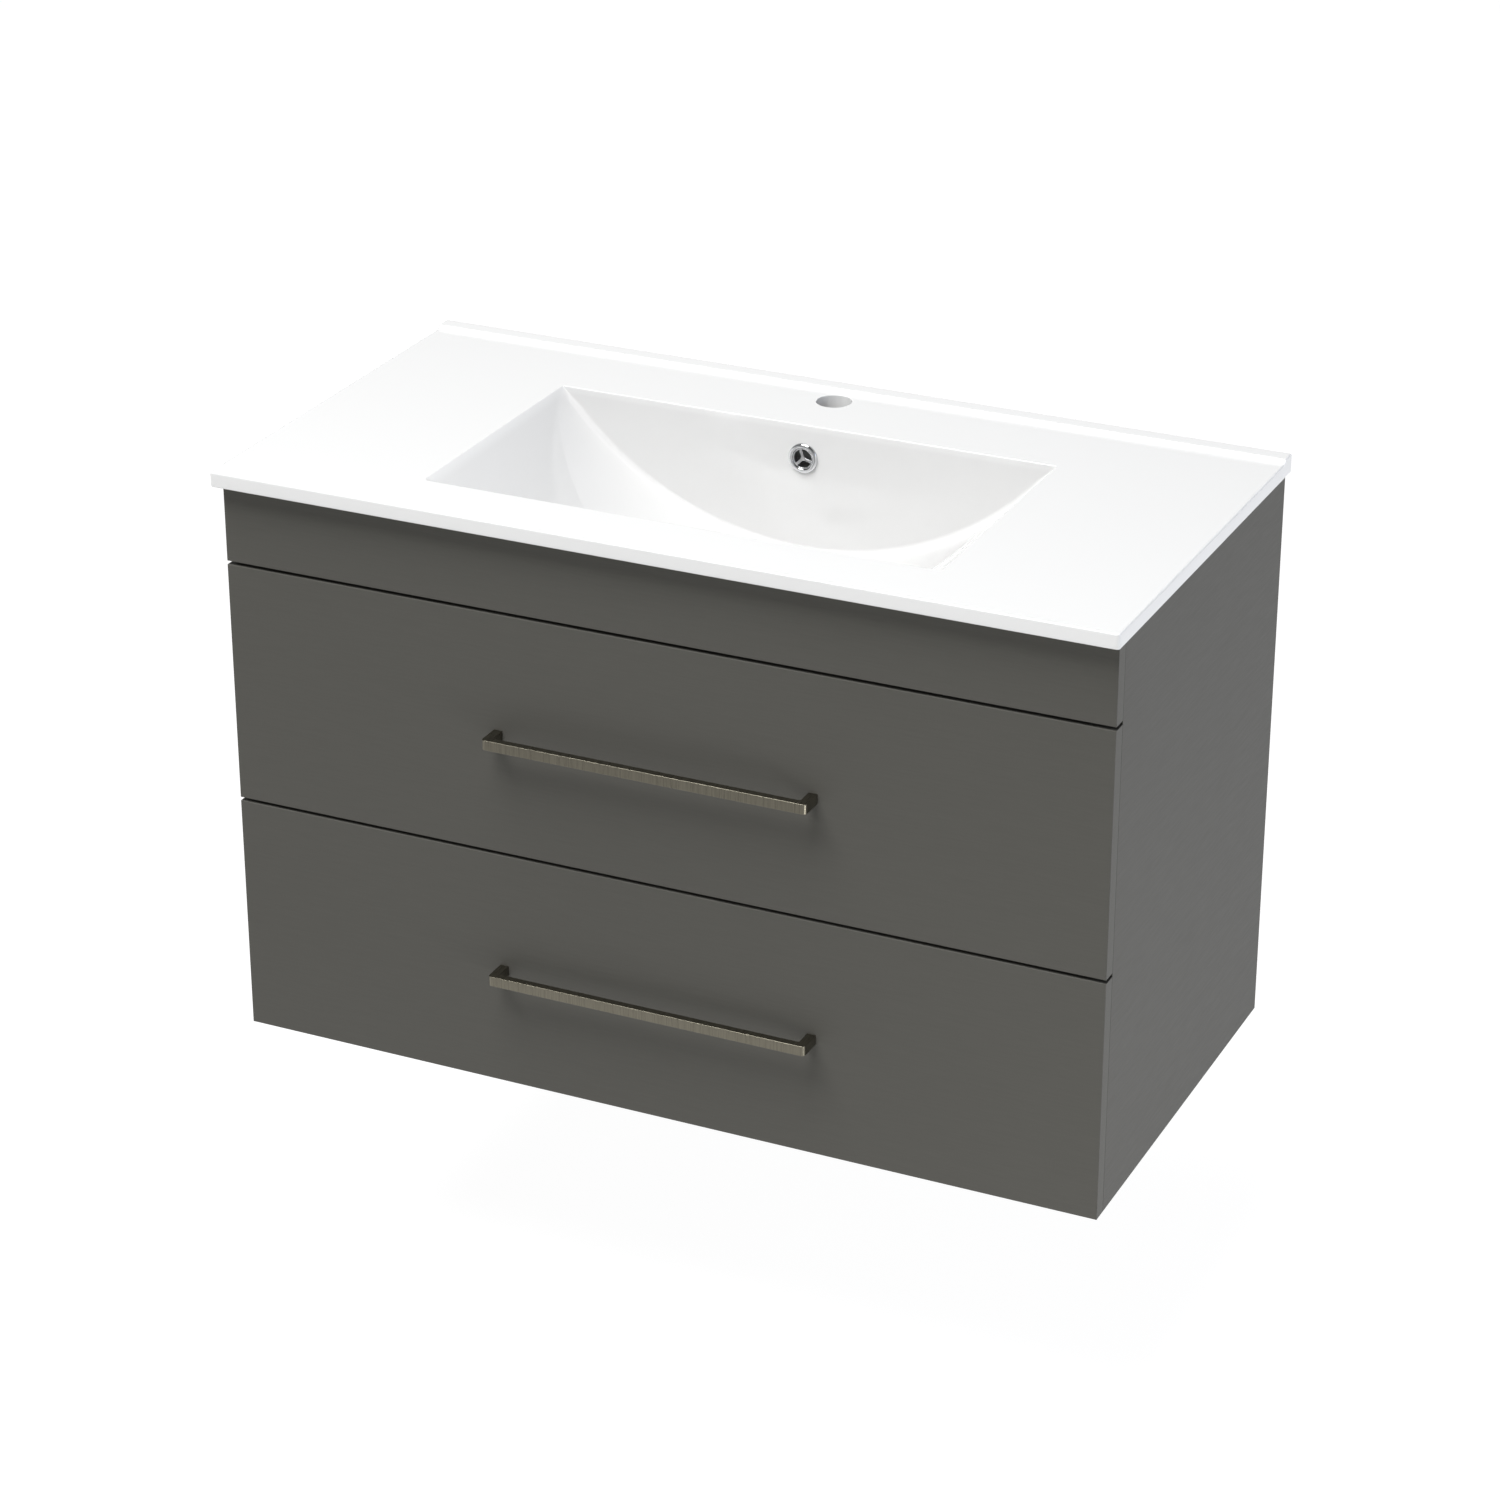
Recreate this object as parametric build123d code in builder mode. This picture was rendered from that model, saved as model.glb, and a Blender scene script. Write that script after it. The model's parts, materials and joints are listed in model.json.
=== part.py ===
from build123d import *
import math
import os
from collections import namedtuple

os.makedirs("parts", exist_ok=True)

# A wall-hung bathroom vanity cabinet: a ceramic basin top on a dowelled board carcass,
# with a fixed fascia and two drawers on ball-bearing runners.
#
# Frame: millimetres. X runs across the front, Y runs into the wall, Z is up.
# The origin is on the wall plane, under the middle of the cabinet's back edge.

# ---- cabinet
cabinet_width = 890.0
cabinet_height = 572.0       # underside of the cabinet to underside of the basin top
cabinet_depth = 445.0        # wall to the face of the drawer fronts
board = 16.0                 # carcass panels and rails
front_board = 16.0           # fascia and drawer fronts
front_edge = 0.8             # rounding of the front boards' face edges
front_gap = 3.5              # between one front and the next
front_seat = 0.1             # drawer front to the carcass edge behind it
fascia_height = 79.0
front_rail_height = 72.0
hanging_rail_height = 100.0
lower_rail_height = 80.0
wall_hole_count = 4
wall_hole_pitch = 240.0
wall_hole_diameter = 6.0
wall_hole_drop = 40.0        # top of the hanging rail down to its holes

# ---- basin top
slab_thickness = 15.0
slab_side_overhang = 5.0
slab_front_overhang = 15.0
slab_corner = 3.5
slab_edge = 1.5
upstand_depth = 20.0
upstand_height = 4.0
upstand_slope = 3.0
bowl_width = 518.0
bowl_depth = 130.0
bowl_from_wall = 114.0
bowl_front_deck = 66.0       # front edge of the slab to the bowl's rim
bowl_front_run = 105.0       # plan length of the sloping front wall
bowl_wall = 9.0
fuse_depth = 1.0             # how far the bowl's shell reaches up into the slab
tap_diameter = 35.0
tap_from_wall = 42.4
waste_diameter = 45.0
waste_to_front_wall = 71.0   # centre of the waste to the foot of the sloping wall
boss_wall = 11.0
boss_drop = 16.0             # below the underside of the bowl
overflow_drop = 34.0         # rim of the bowl down to the overflow's centre
overflow_bore = 24.0
duct_width = 50.0
duct_depth = 22.0
duct_wall = 7.0
passage_width = 20.0
passage_height = 8.0
bead_size = 5.0              # sealant bead under the basin top

# ---- overflow trim
trim_play = 0.1
trim_flange_diameter = 30.0
trim_flange_thickness = 3.0
trim_flange_edge = 1.4
trim_wall = 1.3
trim_insert = 7.0            # length of the trim's tube inside the ceramic
grille_rim = 1.4
grille_thickness = 1.6
grille_recess = 1.2          # grille face behind the flange face
grille_hub_diameter = 5.0
grille_spoke = 2.6
grille_spoke_count = 3
grille_turn = 105.0          # degrees, direction of the first spoke

# ---- runners: ball-bearing, three members, fully extending
runner_thickness = 12.7
runner_height = 45.0
runner_sheet = 1.2
runner_setback = 2.0         # front end behind the carcass edge
runner_length_step = 50.0    # runners are sold in these steps
runner_back_space = 8.0      # least gap behind the runner to the back rails
ball_race = 2.8
ball_play = 0.1
outer_flange_step = 2.0      # cabinet member's flanges, back from the drawer side
middle_flange_step = 0.5
inner_flange_step = 1.3      # drawer member's flanges, off the middle member's web
balls_in_row = 6
ball_pitch = 24.0
runner_screws_each = 3
runner_screw_inset = 35.0

# ---- drawers
box_board = 15.0
box_bottom = 8.0
box_over_bottom_panel = 12.0
box_over_front_edge = 15.5   # upper box underside above the lower edge of its front
box_under_basin = 20.0       # top of the upper box to the waste boss above it
box_under_front_top = 35.0   # top of the lower box below the top of its front
recess_half_width = 110.0    # plumbing recess in the upper drawer
recess_before_waste = 67.0

# ---- handles
handle_length = 329.0
handle_height = 10.0
handle_reach = 26.0
handle_bar = 8.0
handle_leg = 9.0
handle_corner = 4.0
handle_edge = 0.6

# ---- fixings
hole_play = 0.1              # radial clearance round every screw and dowel
dowel_radius = 4.0
dowel_in_panel = 12.0
dowel_in_end = 20.0
box_dowel_radius = 3.0
box_dowel_in_side = 10.0
box_dowel_in_end = 15.0
dowel_inset = 20.0           # dowel to the nearest edge of the board it ends in
panel_dowel_inset = 60.0
screw_bite = 11.0            # screw length inside the last board
screw_radius = 2.0
screw_head_radius = 3.8
screw_head_height = 2.4
runner_screw_radius = 1.75
runner_screw_head_radius = 3.4
runner_screw_head_height = 1.4
handle_screw_bite = 8.0
front_screw_inset = 60.0
front_screw_edge = 30.0
fascia_screw_count = 4
fascia_screw_pitch = 240.0

# ---- derived planes of the cabinet
half_width = cabinet_width / 2
inner_half = half_width - board
front_back_y = -(cabinet_depth - front_board)
carcass_front_y = front_back_y + front_seat
front_face_y = -cabinet_depth
front_height = (cabinet_height - fascia_height - 2 * front_gap) / 2
upper_front_z = front_height + front_gap
fascia_z = cabinet_height - fascia_height

# ---- derived planes of the basin top
slab_depth = cabinet_depth + slab_front_overhang
slab_half = half_width + slab_side_overhang
rim_z = cabinet_height + slab_thickness
floor_z = rim_z - bowl_depth
bowl_half = bowl_width / 2
bowl_back_y = -bowl_from_wall
bowl_front_y = -(slab_depth - bowl_front_deck)
bowl_radius = (bowl_half**2 + bowl_depth**2) / (2 * bowl_depth)
bowl_centre_z = floor_z + bowl_radius
front_wall_foot_y = bowl_front_y + bowl_front_run
waste_y = front_wall_foot_y + waste_to_front_wall
boss_z = floor_z - bowl_wall - boss_drop
overflow_z = rim_z - overflow_drop

# ---- derived planes of the runners and drawers
runner_room = -front_back_y - runner_setback - board - runner_back_space
runner_length = runner_length_step * math.floor(runner_room / runner_length_step)
runner_back_y = front_back_y + runner_setback + runner_length
box_half = inner_half - runner_thickness
box_back_y = front_back_y + runner_length
lower_box_z = board + box_over_bottom_panel
lower_box_top = front_height - box_under_front_top
upper_box_z = upper_front_z + box_over_front_edge
upper_box_top = boss_z - box_under_basin
recess_front_y = waste_y - recess_before_waste

LEFT, RIGHT = -1, 1
SIDES = {"left": LEFT, "right": RIGHT}

Fixing = namedtuple("Fixing", "places radius length head_radius head_height")


def finish(piece, name):
    """Label a finished piece and write it to its own file."""
    piece.part.label = name
    export_step(piece.part, f"parts/{name}.step")


def toward(point, direction):
    """Plane at a fixing's seat, whose normal points where its shank goes."""
    return Plane(origin=point, z_dir=direction)


def dowels(places, radius, length):
    return Fixing(places, radius, length, 0.0, 0.0)


def screws(places, length, radius=screw_radius, head=screw_head_radius, height=screw_head_height):
    return Fixing(places, radius, length, head, height)


def drill(*fixings):
    """Cut the clearance holes of these fixings from the part that is being built."""
    for fixing in fixings:
        for place in fixing.places:
            with BuildSketch(place) as bore:
                Circle(fixing.radius + hole_play)
            extrude(bore.sketch, amount=fixing.length + hole_play, mode=Mode.SUBTRACT)


def make_fixings(name, *fixings):
    """One node that holds a group of separate screws or dowels."""
    with BuildPart() as group:
        for fixing in fixings:
            for place in fixing.places:
                with BuildSketch(place):
                    Circle(fixing.radius)
                extrude(amount=fixing.length)
                if fixing.head_height:
                    with BuildSketch(place):
                        Circle(fixing.head_radius)
                    extrude(amount=-fixing.head_height)
    finish(group, name)


def make_board(name, x, y, z, *fixings, face_edge=0.0):
    """Panel between the (low, high) pairs x, y and z, drilled for its fixings."""
    with BuildPart() as panel:
        with BuildSketch(Plane.XY.offset(z[0])):
            with Locations(((x[0] + x[1]) / 2, (y[0] + y[1]) / 2)):
                Rectangle(x[1] - x[0], y[1] - y[0])
        extrude(amount=z[1] - z[0])
        if face_edge:
            fillet(panel.faces().sort_by(Axis.Y)[0].edges(), face_edge)
        drill(*fixings)
    finish(panel, name)


def spread(count, pitch):
    """Offsets of evenly spaced places, centred on zero."""
    return [(i - (count - 1) / 2) * pitch for i in range(count)]


# ---- carcass -------------------------------------------------------------------------


def end_dowels(y_places, z_places):
    """Dowels through both ends of a part that spans the carcass, into the side panels."""
    places = [
        toward((side * (inner_half + dowel_in_panel), y, z), (-side, 0, 0))
        for side in (LEFT, RIGHT)
        for y in y_places
        for z in z_places
    ]
    return dowels(places, dowel_radius, dowel_in_panel + dowel_in_end)


front_rail_z = cabinet_height - front_rail_height
hanging_rail_z = cabinet_height - hanging_rail_height
lower_rail_top = board + lower_rail_height

bottom_dowels = end_dowels(
    (carcass_front_y + panel_dowel_inset, carcass_front_y / 2, -panel_dowel_inset), (board / 2,)
)
front_rail_dowels = end_dowels(
    (carcass_front_y + board / 2,), (front_rail_z + dowel_inset, cabinet_height - dowel_inset)
)
hanging_rail_dowels = end_dowels(
    (-board / 2,), (hanging_rail_z + dowel_inset, cabinet_height - dowel_inset)
)
lower_rail_dowels = end_dowels((-board / 2,), (board + dowel_inset, lower_rail_top - dowel_inset))
carcass_dowels = (bottom_dowels, front_rail_dowels, hanging_rail_dowels, lower_rail_dowels)

fascia_fixings = screws(
    [
        toward((x, carcass_front_y + board, (front_rail_z + cabinet_height) / 2), (0, -1, 0))
        for x in spread(fascia_screw_count, fascia_screw_pitch)
    ],
    board + screw_bite,
)

# the runners' screws are needed here too, because the side panels take them
runner_heights = {
    "upper": (upper_box_z + box_bottom + upper_box_top) / 2,
    "lower": (lower_box_z + box_bottom + lower_box_top) / 2,
}
runner_screw_pitch = (runner_length - 2 * runner_screw_inset) / (runner_screws_each - 1)
runner_screw_ys = [
    runner_back_y - runner_length / 2 + offset
    for offset in spread(runner_screws_each, runner_screw_pitch)
]


def runner_fixings(side, z, depth, direction):
    """Screws through a runner's web, which lies this depth in from the side panel."""
    places = [
        toward((side * (inner_half - depth), y, z), (direction, 0, 0)) for y in runner_screw_ys
    ]
    return screws(
        places,
        runner_sheet + screw_bite,
        runner_screw_radius,
        runner_screw_head_radius,
        runner_screw_head_height,
    )


panel_fixings = {
    (level, side): runner_fixings(side, z, runner_sheet, side)
    for level, z in runner_heights.items()
    for side in (LEFT, RIGHT)
}
box_side_fixings = {
    (level, side): runner_fixings(side, z, runner_thickness - runner_sheet, -side)
    for level, z in runner_heights.items()
    for side in (LEFT, RIGHT)
}

for side_name, side in SIDES.items():
    make_board(
        f"side_panel_{side_name}",
        sorted((side * inner_half, side * half_width)),
        (carcass_front_y, 0),
        (0, cabinet_height),
        *carcass_dowels,
        panel_fixings["upper", side],
        panel_fixings["lower", side],
    )

across = (-inner_half, inner_half)
front_rail_y = (carcass_front_y, carcass_front_y + board)
make_board("bottom_panel", across, (carcass_front_y, 0), (0, board), bottom_dowels)
make_board(
    "front_rail", across, front_rail_y, (front_rail_z, cabinet_height),
    front_rail_dowels, fascia_fixings,
)
make_board("lower_back_rail", across, (-board, 0), (board, lower_rail_top), lower_rail_dowels)

with BuildPart() as hanging_rail:
    with BuildSketch(Plane.XZ):
        with Locations((0, cabinet_height - hanging_rail_height / 2)):
            Rectangle(2 * inner_half, hanging_rail_height)
        with Locations((0, cabinet_height - wall_hole_drop)):
            with GridLocations(wall_hole_pitch, 0, wall_hole_count, 1):
                Circle(wall_hole_diameter / 2, mode=Mode.SUBTRACT)
    extrude(amount=board)
    drill(hanging_rail_dowels)
finish(hanging_rail, "hanging_rail")

# the fascia bears on the front rail itself, so it is thicker than the drawer fronts by
# their seat, and all three faces line up
make_board(
    "fascia",
    (-half_width, half_width),
    (front_face_y, carcass_front_y),
    (fascia_z, cabinet_height),
    fascia_fixings,
    face_edge=front_edge,
)
make_fixings("carcass_dowels", *carcass_dowels)
make_fixings("fascia_screws", fascia_fixings)


# ---- basin top -----------------------------------------------------------------------


def bowl_form(grow, arc_end_z, top_z):
    """The bowl's form, grown outward: a trough of one arc, closed by a vertical back wall
    and a sloping front wall. The arc stops at arc_end_z and straight sides go on to top_z."""
    half = math.sqrt((bowl_radius + grow) ** 2 - (bowl_centre_z - arc_end_z) ** 2)
    slope = bowl_front_run / bowl_depth
    back_y = bowl_back_y + grow
    low_z = floor_z - grow

    def front_y(z):
        return bowl_front_y + (rim_z - z) * slope - grow * math.hypot(1, slope)

    with BuildPart() as form:
        with BuildSketch(Plane.XZ.offset(-back_y)):
            with BuildLine():
                ThreePointArc((-half, arc_end_z), (0, low_z), (half, arc_end_z))
                Polyline((half, arc_end_z), (half, top_z), (-half, top_z), (-half, arc_end_z))
            make_face()
        extrude(amount=back_y - front_y(rim_z))
        with BuildSketch(Plane.YZ):
            with BuildLine():
                Polyline(
                    (back_y, low_z),
                    (front_y(low_z), low_z),
                    (front_y(arc_end_z), arc_end_z),
                    (front_y(arc_end_z), top_z),
                    (back_y, top_z),
                    close=True,
                )
            make_face()
        extrude(amount=half, both=True, mode=Mode.INTERSECT)
    return form.part


bowl_shell = bowl_form(bowl_wall, cabinet_height, cabinet_height + fuse_depth)
bowl_hollow = bowl_form(0, rim_z, rim_z + upstand_height)
duct_back_y = bowl_back_y + bowl_wall + duct_depth
passage_back_y = duct_back_y - duct_wall
passage_z = boss_z + (floor_z - bowl_wall - boss_z - passage_height) / 2

with BuildPart() as basin_top:
    with BuildSketch(Plane.YZ.offset(-slab_half)):
        with BuildLine():
            Polyline(
                (0, cabinet_height),
                (-slab_depth, cabinet_height),
                (-slab_depth, rim_z),
                (-upstand_depth, rim_z),
                (upstand_slope - upstand_depth, rim_z + upstand_height),
                (0, rim_z + upstand_height),
                close=True,
            )
        make_face()
    extrude(amount=2 * slab_half)
    fillet(basin_top.edges().filter_by(Axis.Z).group_by(Axis.Y)[0], slab_corner)
    fillet(basin_top.edges().group_by(Axis.Y)[0].filter_by(Axis.X), slab_edge)
    add(bowl_shell)
    # boss round the waste hole, and the overflow duct that runs down and forward into it
    with BuildSketch(Plane.XY.offset(boss_z)):
        with Locations((0, waste_y)):
            Circle(waste_diameter / 2 + boss_wall)
        with Locations((0, (waste_y + duct_back_y) / 2)):
            Rectangle(duct_width, duct_back_y - waste_y)
    extrude(amount=floor_z - bowl_wall / 2 - boss_z)
    with BuildSketch(Plane.XY.offset(boss_z)):
        with Locations((0, duct_back_y - duct_depth / 2)):
            Rectangle(duct_width, duct_depth)
    extrude(amount=cabinet_height - boss_z)
    add(bowl_hollow, mode=Mode.SUBTRACT)
    # water passage inside the duct
    with BuildSketch(Plane.XY.offset(passage_z)):
        with Locations((0, (waste_y + passage_back_y) / 2)):
            Rectangle(passage_width, passage_back_y - waste_y)
    extrude(amount=passage_height, mode=Mode.SUBTRACT)
    with BuildSketch(Plane.XY.offset(passage_z)):
        with Locations((0, (bowl_back_y + bowl_wall + passage_back_y) / 2)):
            Rectangle(passage_width, passage_back_y - bowl_back_y - bowl_wall)
    extrude(amount=overflow_z + overflow_bore / 2 - passage_z, mode=Mode.SUBTRACT)
    with BuildSketch(Plane.XZ.offset(-bowl_back_y)):
        with Locations((0, overflow_z)):
            Circle(overflow_bore / 2)
    extrude(amount=-bowl_wall, mode=Mode.SUBTRACT)
    with BuildSketch(Plane.XY.offset(boss_z)):
        with Locations((0, waste_y)):
            Circle(waste_diameter / 2)
    extrude(amount=bowl_depth, mode=Mode.SUBTRACT)
    with BuildSketch(Plane.XY.offset(cabinet_height)):
        with Locations((0, -tap_from_wall)):
            Circle(tap_diameter / 2)
    extrude(amount=slab_thickness + upstand_height, mode=Mode.SUBTRACT)
finish(basin_top, "basin_top")

# sealant beads in the corners between the basin top and the boards that carry it
bead_front_y = carcass_front_y + board
bead_back_y = -board
bead_runs = [
    (Plane(origin=(0, bead_front_y, cabinet_height), x_dir=(0, 1, 0), z_dir=(1, 0, 0)),
     inner_half),
    (Plane(origin=(0, bead_back_y, cabinet_height), x_dir=(0, -1, 0), z_dir=(-1, 0, 0)),
     inner_half),
]
for side in (LEFT, RIGHT):
    bead_middle = (side * inner_half, (bead_front_y + bead_back_y) / 2, cabinet_height)
    bead_runs.append(
        (Plane(origin=bead_middle, x_dir=(-side, 0, 0), z_dir=(0, side, 0)),
         (bead_back_y - bead_front_y) / 2 - bead_size)
    )
with BuildPart() as basin_sealant:
    for bead_plane, bead_half_run in bead_runs:
        with BuildSketch(bead_plane):
            with BuildLine():
                Polyline((0, 0), (bead_size, 0), (0, -bead_size), close=True)
            make_face()
        extrude(amount=bead_half_run, both=True)
finish(basin_sealant, "basin_sealant")

# overflow trim, turned about the axis of the overflow hole
overflow_axis = Axis((0, bowl_back_y, overflow_z), (0, 1, 0))
trim_outer = overflow_bore / 2 - trim_play
trim_inner = trim_outer - trim_wall
flange_face_y = bowl_back_y - trim_flange_thickness
grille_face_y = flange_face_y + grille_recess
grille_outer = trim_inner - trim_play
with BuildPart() as overflow_ring:
    with BuildSketch(Plane.YZ):
        with BuildLine():
            Polyline(
                (bowl_back_y, overflow_z + trim_flange_diameter / 2),
                (flange_face_y, overflow_z + trim_flange_diameter / 2),
                (flange_face_y, overflow_z + trim_inner),
                (bowl_back_y + trim_insert, overflow_z + trim_inner),
                (bowl_back_y + trim_insert, overflow_z + trim_outer),
                (bowl_back_y, overflow_z + trim_outer),
                close=True,
            )
        make_face()
    revolve(axis=overflow_axis)
    face_rims = overflow_ring.edges().filter_by(GeomType.CIRCLE).group_by(Axis.Y)[0]
    fillet(face_rims.sort_by(SortBy.RADIUS)[-1], trim_flange_edge)
finish(overflow_ring, "overflow_ring")

with BuildPart() as overflow_grille:
    with BuildSketch(Plane.XZ.offset(-grille_face_y)):
        with Locations((0, overflow_z)):
            Circle(grille_outer)
            Circle(grille_outer - grille_rim, mode=Mode.SUBTRACT)
            Circle(grille_hub_diameter / 2)
            with PolarLocations(0, grille_spoke_count, grille_turn):
                with Locations(((grille_outer - grille_rim / 2) / 2, 0)):
                    Rectangle(grille_outer - grille_rim / 2, grille_spoke)
    extrude(amount=-grille_thickness)
finish(overflow_grille, "overflow_grille")


# ---- runners -------------------------------------------------------------------------


def make_channel(name, side, z, web, flange, height, web_on_panel_side, fixing=None):
    """C-section member. web and flange are depths in from the side panel: where the web's
    outer face lies, and where the flanges end."""
    start = Plane(
        origin=(side * inner_half, runner_back_y, z), x_dir=(-side, 0, 0), z_dir=(0, -1, 0)
    )
    low, high = sorted((web, flange))
    hollow_low = low + runner_sheet if web_on_panel_side else low
    hollow_high = high if web_on_panel_side else high - runner_sheet
    with BuildPart() as member:
        with BuildSketch(start):
            with Locations(((low + high) / 2, 0)):
                Rectangle(high - low, height)
            with Locations(((hollow_low + hollow_high) / 2, 0)):
                Rectangle(hollow_high - hollow_low, height - 2 * runner_sheet, mode=Mode.SUBTRACT)
        extrude(amount=runner_length)
        if fixing:
            drill(fixing)
    finish(member, name)


middle_web = runner_sheet + ball_race
middle_height = runner_height - 2 * (runner_sheet + ball_race)
drawer_height = middle_height - 2 * (runner_sheet + ball_race)
cabinet_flange = runner_thickness - runner_sheet - outer_flange_step
middle_flange = runner_thickness - runner_sheet - middle_flange_step
drawer_flange = middle_web + runner_sheet + inner_flange_step
ball_radius = ball_race / 2 - ball_play
outer_ball_depth = (middle_web + cabinet_flange) / 2
inner_ball_depth = (drawer_flange + middle_flange) / 2


def ball_places(side, z):
    """Centres of the balls of one runner: the outer races in the rear half of the middle
    member and the inner races in its front half, where they stay at full extension."""
    middle_y = runner_back_y - runner_length / 2
    races = (
        (outer_ball_depth, (runner_height - ball_race) / 2 - runner_sheet, 1),
        (inner_ball_depth, (middle_height - ball_race) / 2 - runner_sheet, -1),
    )
    return [
        (side * (inner_half - depth), middle_y + half_way * (i + 1) * ball_pitch, z + up * rise)
        for depth, rise, half_way in races
        for up in (-1, 1)
        for i in range(balls_in_row)
    ]


for level, z in runner_heights.items():
    for side_name, side in SIDES.items():
        runner = f"{level}_{side_name}_runner"
        make_channel(
            f"{runner}_cabinet_member", side, z, 0, cabinet_flange, runner_height, True,
            panel_fixings[level, side],
        )
        make_channel(
            f"{runner}_middle_member", side, z, middle_web, middle_flange, middle_height, True
        )
        make_channel(
            f"{runner}_drawer_member", side, z, runner_thickness, drawer_flange, drawer_height,
            False, box_side_fixings[level, side],
        )
    with BuildPart() as runner_balls:
        with Locations(*ball_places(LEFT, z), *ball_places(RIGHT, z)):
            Sphere(ball_radius)
    finish(runner_balls, f"{level}_runner_balls")
    make_fixings(
        f"{level}_runner_drawer_screws",
        *[box_side_fixings[level, side] for side in SIDES.values()],
    )
make_fixings("runner_cabinet_screws", *panel_fixings.values())


# ---- drawers -------------------------------------------------------------------------


def make_handle(name, centre_z, fixing):
    """Flat bar handle: a bar with two legs, in one piece."""
    bar_half = handle_length / 2
    with BuildPart() as handle:
        with BuildSketch(Plane.XY.offset(centre_z - handle_height / 2)):
            with Locations((0, front_face_y - handle_reach / 2)):
                Rectangle(handle_length, handle_reach)
            with Locations((0, front_face_y - (handle_reach - handle_bar) / 2)):
                Rectangle(
                    handle_length - 2 * handle_leg, handle_reach - handle_bar, mode=Mode.SUBTRACT
                )
        extrude(amount=handle_height)
        outer_corners = handle.edges().filter_by(Axis.Z).group_by(Axis.Y)[0]
        fillet(outer_corners, handle_corner)
        fillet(handle.faces().filter_by(Axis.Z).edges().group_by(Axis.Y)[0], handle_edge)
        drill(fixing)
    finish(handle, name)


def corner_dowels(y_places, z_places):
    """Dowels through the box's sides into the ends of its front and back."""
    places = [
        toward((side * (box_half - box_board + box_dowel_in_side), y, z), (-side, 0, 0))
        for side in (LEFT, RIGHT)
        for y in y_places
        for z in z_places
    ]
    return dowels(places, box_dowel_radius, box_dowel_in_side + box_dowel_in_end)


def make_drawer(level, front_z, box_z, box_top, recessed):
    """One drawer: its front, box, handle and fixings. A recessed box goes round the waste."""
    wall_z = (box_z + box_bottom, box_top)
    inner_front_y = front_back_y + box_board
    centre_z = front_z + front_height / 2
    dowel_zs = (wall_z[0] + dowel_inset, wall_z[1] - dowel_inset)

    handle_fixing = screws(
        [
            toward((x, inner_front_y, centre_z), (0, -1, 0))
            for x in spread(2, handle_length - handle_leg)
        ],
        box_board + front_board + handle_screw_bite,
    )
    front_fixing = screws(
        [
            toward((x, inner_front_y, z), (0, -1, 0))
            for x in spread(2, 2 * (box_half - front_screw_inset))
            for z in (wall_z[0] + front_screw_edge, wall_z[1] - front_screw_edge)
        ],
        box_board + screw_bite,
    )
    corners = corner_dowels(
        (front_back_y + box_board / 2, box_back_y - box_board / 2), dowel_zs
    )
    box_dowels = [corners]

    make_board(
        f"{level}_drawer_front",
        (-half_width, half_width),
        (front_face_y, front_back_y),
        (front_z, front_z + front_height),
        handle_fixing,
        front_fixing,
        face_edge=front_edge,
    )
    make_handle(f"{level}_handle", centre_z, handle_fixing)
    make_fixings(f"{level}_handle_screws", handle_fixing)
    make_fixings(f"{level}_front_screws", front_fixing)
    box_inner = box_half - box_board
    make_board(
        f"{level}_box_front",
        (-box_inner, box_inner),
        (front_back_y, inner_front_y),
        wall_z,
        handle_fixing,
        front_fixing,
        corners,
    )
    for side_name, side in SIDES.items():
        make_board(
            f"{level}_box_side_{side_name}",
            sorted((side * box_inner, side * box_half)),
            (front_back_y, box_back_y),
            wall_z,
            corners,
            box_side_fixings[level, side],
        )

    back_y = (box_back_y - box_board, box_back_y)
    recess_outer = recess_half_width + box_board
    if recessed:
        recess_dowels = dowels(
            [
                toward((side * (recess_outer - box_dowel_in_side), back_y[0] + box_board / 2, z),
                       (side, 0, 0))
                for side in (LEFT, RIGHT)
                for z in dowel_zs
            ]
            + [
                toward((side * (recess_half_width + box_board / 2),
                        recess_front_y - box_dowel_in_side, z), (0, 1, 0))
                for side in (LEFT, RIGHT)
                for z in dowel_zs
            ],
            box_dowel_radius,
            box_dowel_in_side + box_dowel_in_end,
        )
        box_dowels.append(recess_dowels)
        for side_name, side in SIDES.items():
            make_board(
                f"{level}_box_back_{side_name}",
                sorted((side * recess_outer, side * box_inner)),
                back_y,
                wall_z,
                corners,
                recess_dowels,
            )
            make_board(
                f"{level}_recess_side_{side_name}",
                sorted((side * recess_half_width, side * recess_outer)),
                (recess_front_y, box_back_y),
                wall_z,
                recess_dowels,
            )
        make_board(
            f"{level}_recess_front",
            (-recess_outer, recess_outer),
            (recess_front_y - box_board, recess_front_y),
            wall_z,
            recess_dowels,
        )
    else:
        make_board(f"{level}_box_back", (-box_inner, box_inner), back_y, wall_z, corners)

    with BuildPart() as bottom:
        with BuildSketch(Plane.XY.offset(box_z)):
            with Locations((0, (front_back_y + box_back_y) / 2)):
                Rectangle(2 * box_half, box_back_y - front_back_y)
            if recessed:
                with Locations((0, (recess_front_y + box_back_y) / 2)):
                    Rectangle(
                        2 * recess_half_width, box_back_y - recess_front_y, mode=Mode.SUBTRACT
                    )
        extrude(amount=box_bottom)
    finish(bottom, f"{level}_box_bottom")
    make_fixings(f"{level}_box_dowels", *box_dowels)


make_drawer("upper", upper_front_z, upper_box_z, upper_box_top, recessed=True)
make_drawer("lower", 0.0, lower_box_z, lower_box_top, recessed=False)
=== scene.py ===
import json
import math

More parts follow.
